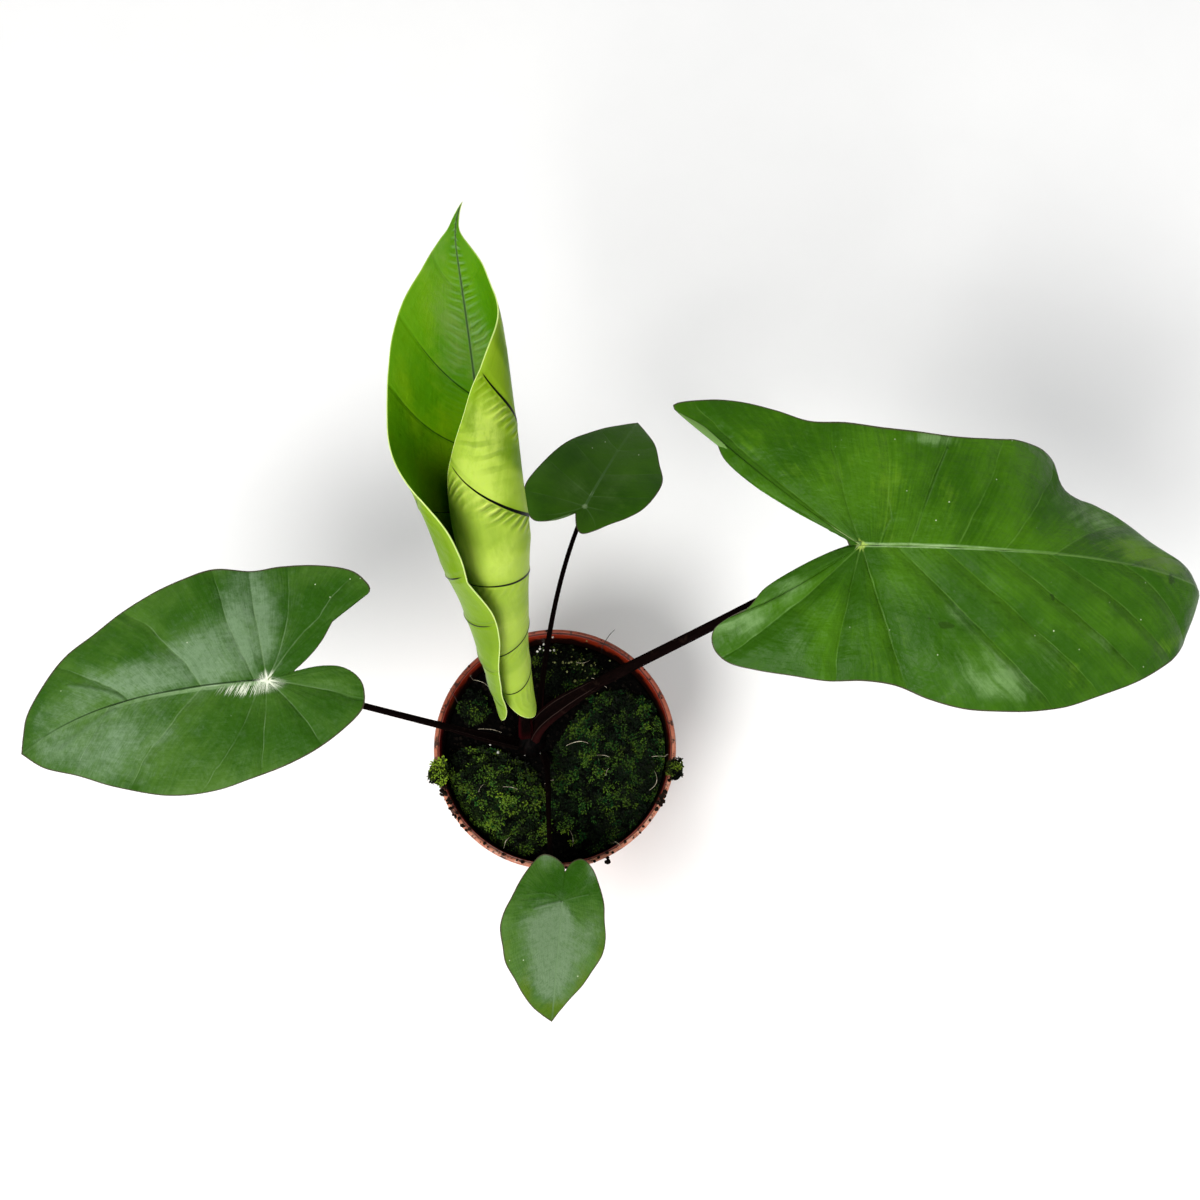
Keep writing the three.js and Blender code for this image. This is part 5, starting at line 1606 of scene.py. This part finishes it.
def moss_top(x, y):
    """The height of the moss, soil or rim at a place."""
    over_rim = math.hypot(x, y) > inner_radius(POT_HEIGHT)
    best = POT_HEIGHT if over_rim else SOIL_LEVEL + SOIL_BUMP
    for cushion in MOSS.values():
        cx, cy = cushion["centre"]
        angle = np.array(math.atan2(y - cy, x - cx))
        away = math.hypot(x - cx, y - cy)
        reach = float(reach_at(cushion, angle))
        if away < reach:
            best = max(best, float(cushion_point(cushion, np.array(away / reach), angle)[2]))
    return best


def moss_material():
    """Green leaflets with painted glints, painted black with shade where they start deep in the
    cushion and brighter towards their tips.
    """
    n = Nodes("moss")
    grain = n.noise(n.place, 900)
    leaf = n.mix(n.attribute("tone"), srgb(26, 96, 34), srgb(150, 184, 42))
    # painted glints: pale specks on the leaflets
    leaf = n.mix(grain.ramp(0.56, 0.72, 0, 0.4), leaf, srgb(176, 198, 122))
    # painted shade: leaflets black where they start, brighter towards their tips
    lit = n.attribute("tip").ramp(0.2, 1.0, 0.04, 1.15) * n.attribute("vigour")
    colour = n.mix(lit, srgb(4, 7, 3), leaf)
    return n.surface(colour, 0.5, n.bump(grain, 0.0002), Specular_IOR_Level=0.05)


def moss_bed_material():
    """Painted shade under the shoots: a near-black bed."""
    n = Nodes("moss_bed")
    grain = n.noise(n.place, 600, 5, 0.7)
    colour = n.mix(grain.ramp(0.5, 0.75), srgb(2, 3, 2), srgb(14, 22, 8))
    return n.surface(colour, 0.95, n.bump(grain, 0.0012), Specular_IOR_Level=0.04)


# A shoot's tiers: how many leaflets, how far they reach and how high they start. A leaflet's
# stations: share of its length, half width, rise and how near it is to the tip.
SHOOT_TIERS = ((5, 0.62, 0.0), (5, 0.5, 0.26), (3, 0.36, 0.48))
LEAFLET = ((0.0, 0.0, 0.0, 0.0), (0.4, 0.115, 0.3, 0.35), (0.8, 0.1, 0.36, 0.75),
           (1.05, 0.0, 0.26, 1.0))


def shoot():
    """A moss shoot one unit across: tiers of narrow leaflets that arch outwards."""
    points, faces, tips = [], [], []
    for count, reach, foot in SHOOT_TIERS:
        start_angle = RNG.uniform(0, 2 * np.pi)
        for k in range(count):
            a = start_angle + 2 * np.pi * k / count + RNG.normal(0, 0.25)
            out = np.array([math.cos(a), math.sin(a), 0])
            side = np.array([-out[1], out[0], 0])
            length = reach * RNG.uniform(0.7, 1.25)
            hook = RNG.normal(0, 0.3) * length
            steep = RNG.uniform(0.6, 1.8)
            n = len(points)
            for share, half, rise, tip in LEAFLET:
                middle = out * share * length + side * hook * share**2
                middle = middle + np.array([0, 0, foot + steep * rise * length])
                if half:
                    points += [middle - side * half, middle + side * half]
                    tips += [tip, tip]
                else:
                    points.append(middle)
                    tips.append(tip)
            faces += [(n, n + 1, n + 2), (n + 1, n + 3, n + 4, n + 2), (n + 3, n + 5, n + 4)]
    return np.array(points), faces, np.array(tips)


def moss_bed(cushion):
    """The dark body of a cushion: its points and faces."""
    rows, sides = 26, 90
    share = np.linspace(0.02, 0.8 if on_rim(cushion) else 1, rows)[:, None]
    angle = directions(sides)[None]
    x, y, z, floor = cushion_point(cushion, share, angle + 0 * share)
    rough = 0.5 * np.sin(x * 1.9 + np.sin(y * 2.3)) * np.sin(y * 2.1 + 0.7)
    bed = np.stack([x, y, z - 1.1 + rough], -1)
    skirt = np.stack([x[-1], y[-1], np.full(sides, floor)], -1)[None]
    points = np.concatenate([bed, skirt]).reshape(-1, 3)
    return points, tube_faces(rows + 1, sides, turned=True)


def moss_piece(name):
    """A cushion with shoots all over it, in brighter and darker clumps."""
    cushion = MOSS[name]
    points, faces = moss_bed(cushion)
    slots = [0] * len(faces)
    values = {key: [np.zeros(len(points))] for key in ("tone", "vigour", "tip")}
    all_points = [points]
    start = len(points)
    kinds = [shoot() for _ in range(SHOOT_KINDS)]
    inside = not on_rim(cushion)
    for _ in range(cushion["shoots"]):
        s = math.sqrt(RNG.uniform(0, 1)) * (1.0 if inside else RNG.uniform(0.5, 1.1))
        a = RNG.uniform(0, 2 * np.pi)
        px, py, pz, _ = cushion_point(cushion, np.array(s), np.array(a))
        clump = (math.sin(px / 2.9 + 1.4 * math.sin(py / 4.1))
                 * math.sin(py / 3.1 + 1.2 * math.sin(px / 5.3)))
        bright = RNG.uniform() < 0.3 + 0.6 * clump
        from_stem = math.hypot(px - STEM_CENTRE[0], py - STEM_CENTRE[1])
        stand = 0.75 + 0.25 * math.sin(px / 7.3 + 1.1 * math.sin(py / 9.7)) if inside else 1.0
        # painted shade: shoots near the stem are darker
        stand *= min(1.0, max(0.12, (from_stem - STEM_RADIUS) / MOSS_SHADE))
        vigour = cushion["vigour"] * stand * RNG.uniform(*((0.45, 1.0) if bright else (0, 0.18)))
        p, f, tips = kinds[RNG.integers(len(kinds))]
        size = cushion["size"] * RNG.uniform(0.65, 1.2)
        turn = RNG.uniform(0, 2 * np.pi)
        lean = RNG.normal(0, 0.35, 2)
        c, d = math.cos(turn), math.sin(turn)
        q = p @ np.array([[c, d, 0], [-d, c, 0], [0, 0, 1]]) * size
        q = q + q[:, 2:3] * np.array([[lean[0], lean[1], 0]])
        q = q + np.array([px, py, pz - 2.6 + 1.3 * vigour])
        if inside:
            limit = inner_radius(SOIL_LEVEL) - GAP
            far = np.hypot(q[:, 0], q[:, 1])
            q[:, :2] *= np.minimum(1, limit / far)[:, None]
        all_points.append(q)
        faces += [tuple(start + i for i in g) for g in f]
        slots += [1] * len(f)
        tone = np.clip(cushion["tone"] + 0.2 * clump + RNG.normal(0, 0.2), 0, 1)
        values["tone"].append(np.full(len(q), tone))
        values["vigour"].append(np.full(len(q), vigour))
        values["tip"].append(tips)
        start += len(q)
    values = {key: np.concatenate(parts) for key, parts in values.items()}
    obj = mesh_object(name, np.concatenate(all_points) * MM, faces,
                      [moss_bed_material(), moss_material()], slots, smooth=False,
                      values=values)
    finish_piece(obj, "moss", name)


# ---------------------------------------------------------------- build

studio()
pot_piece()
soil_piece()
litter()
for moss_name in MOSS:
    moss_piece(moss_name)
stem_piece()
for petiole_name in PETIOLES:
    petiole_piece(petiole_name)
for blade_name in BLADES:
    blade_piece(blade_name)
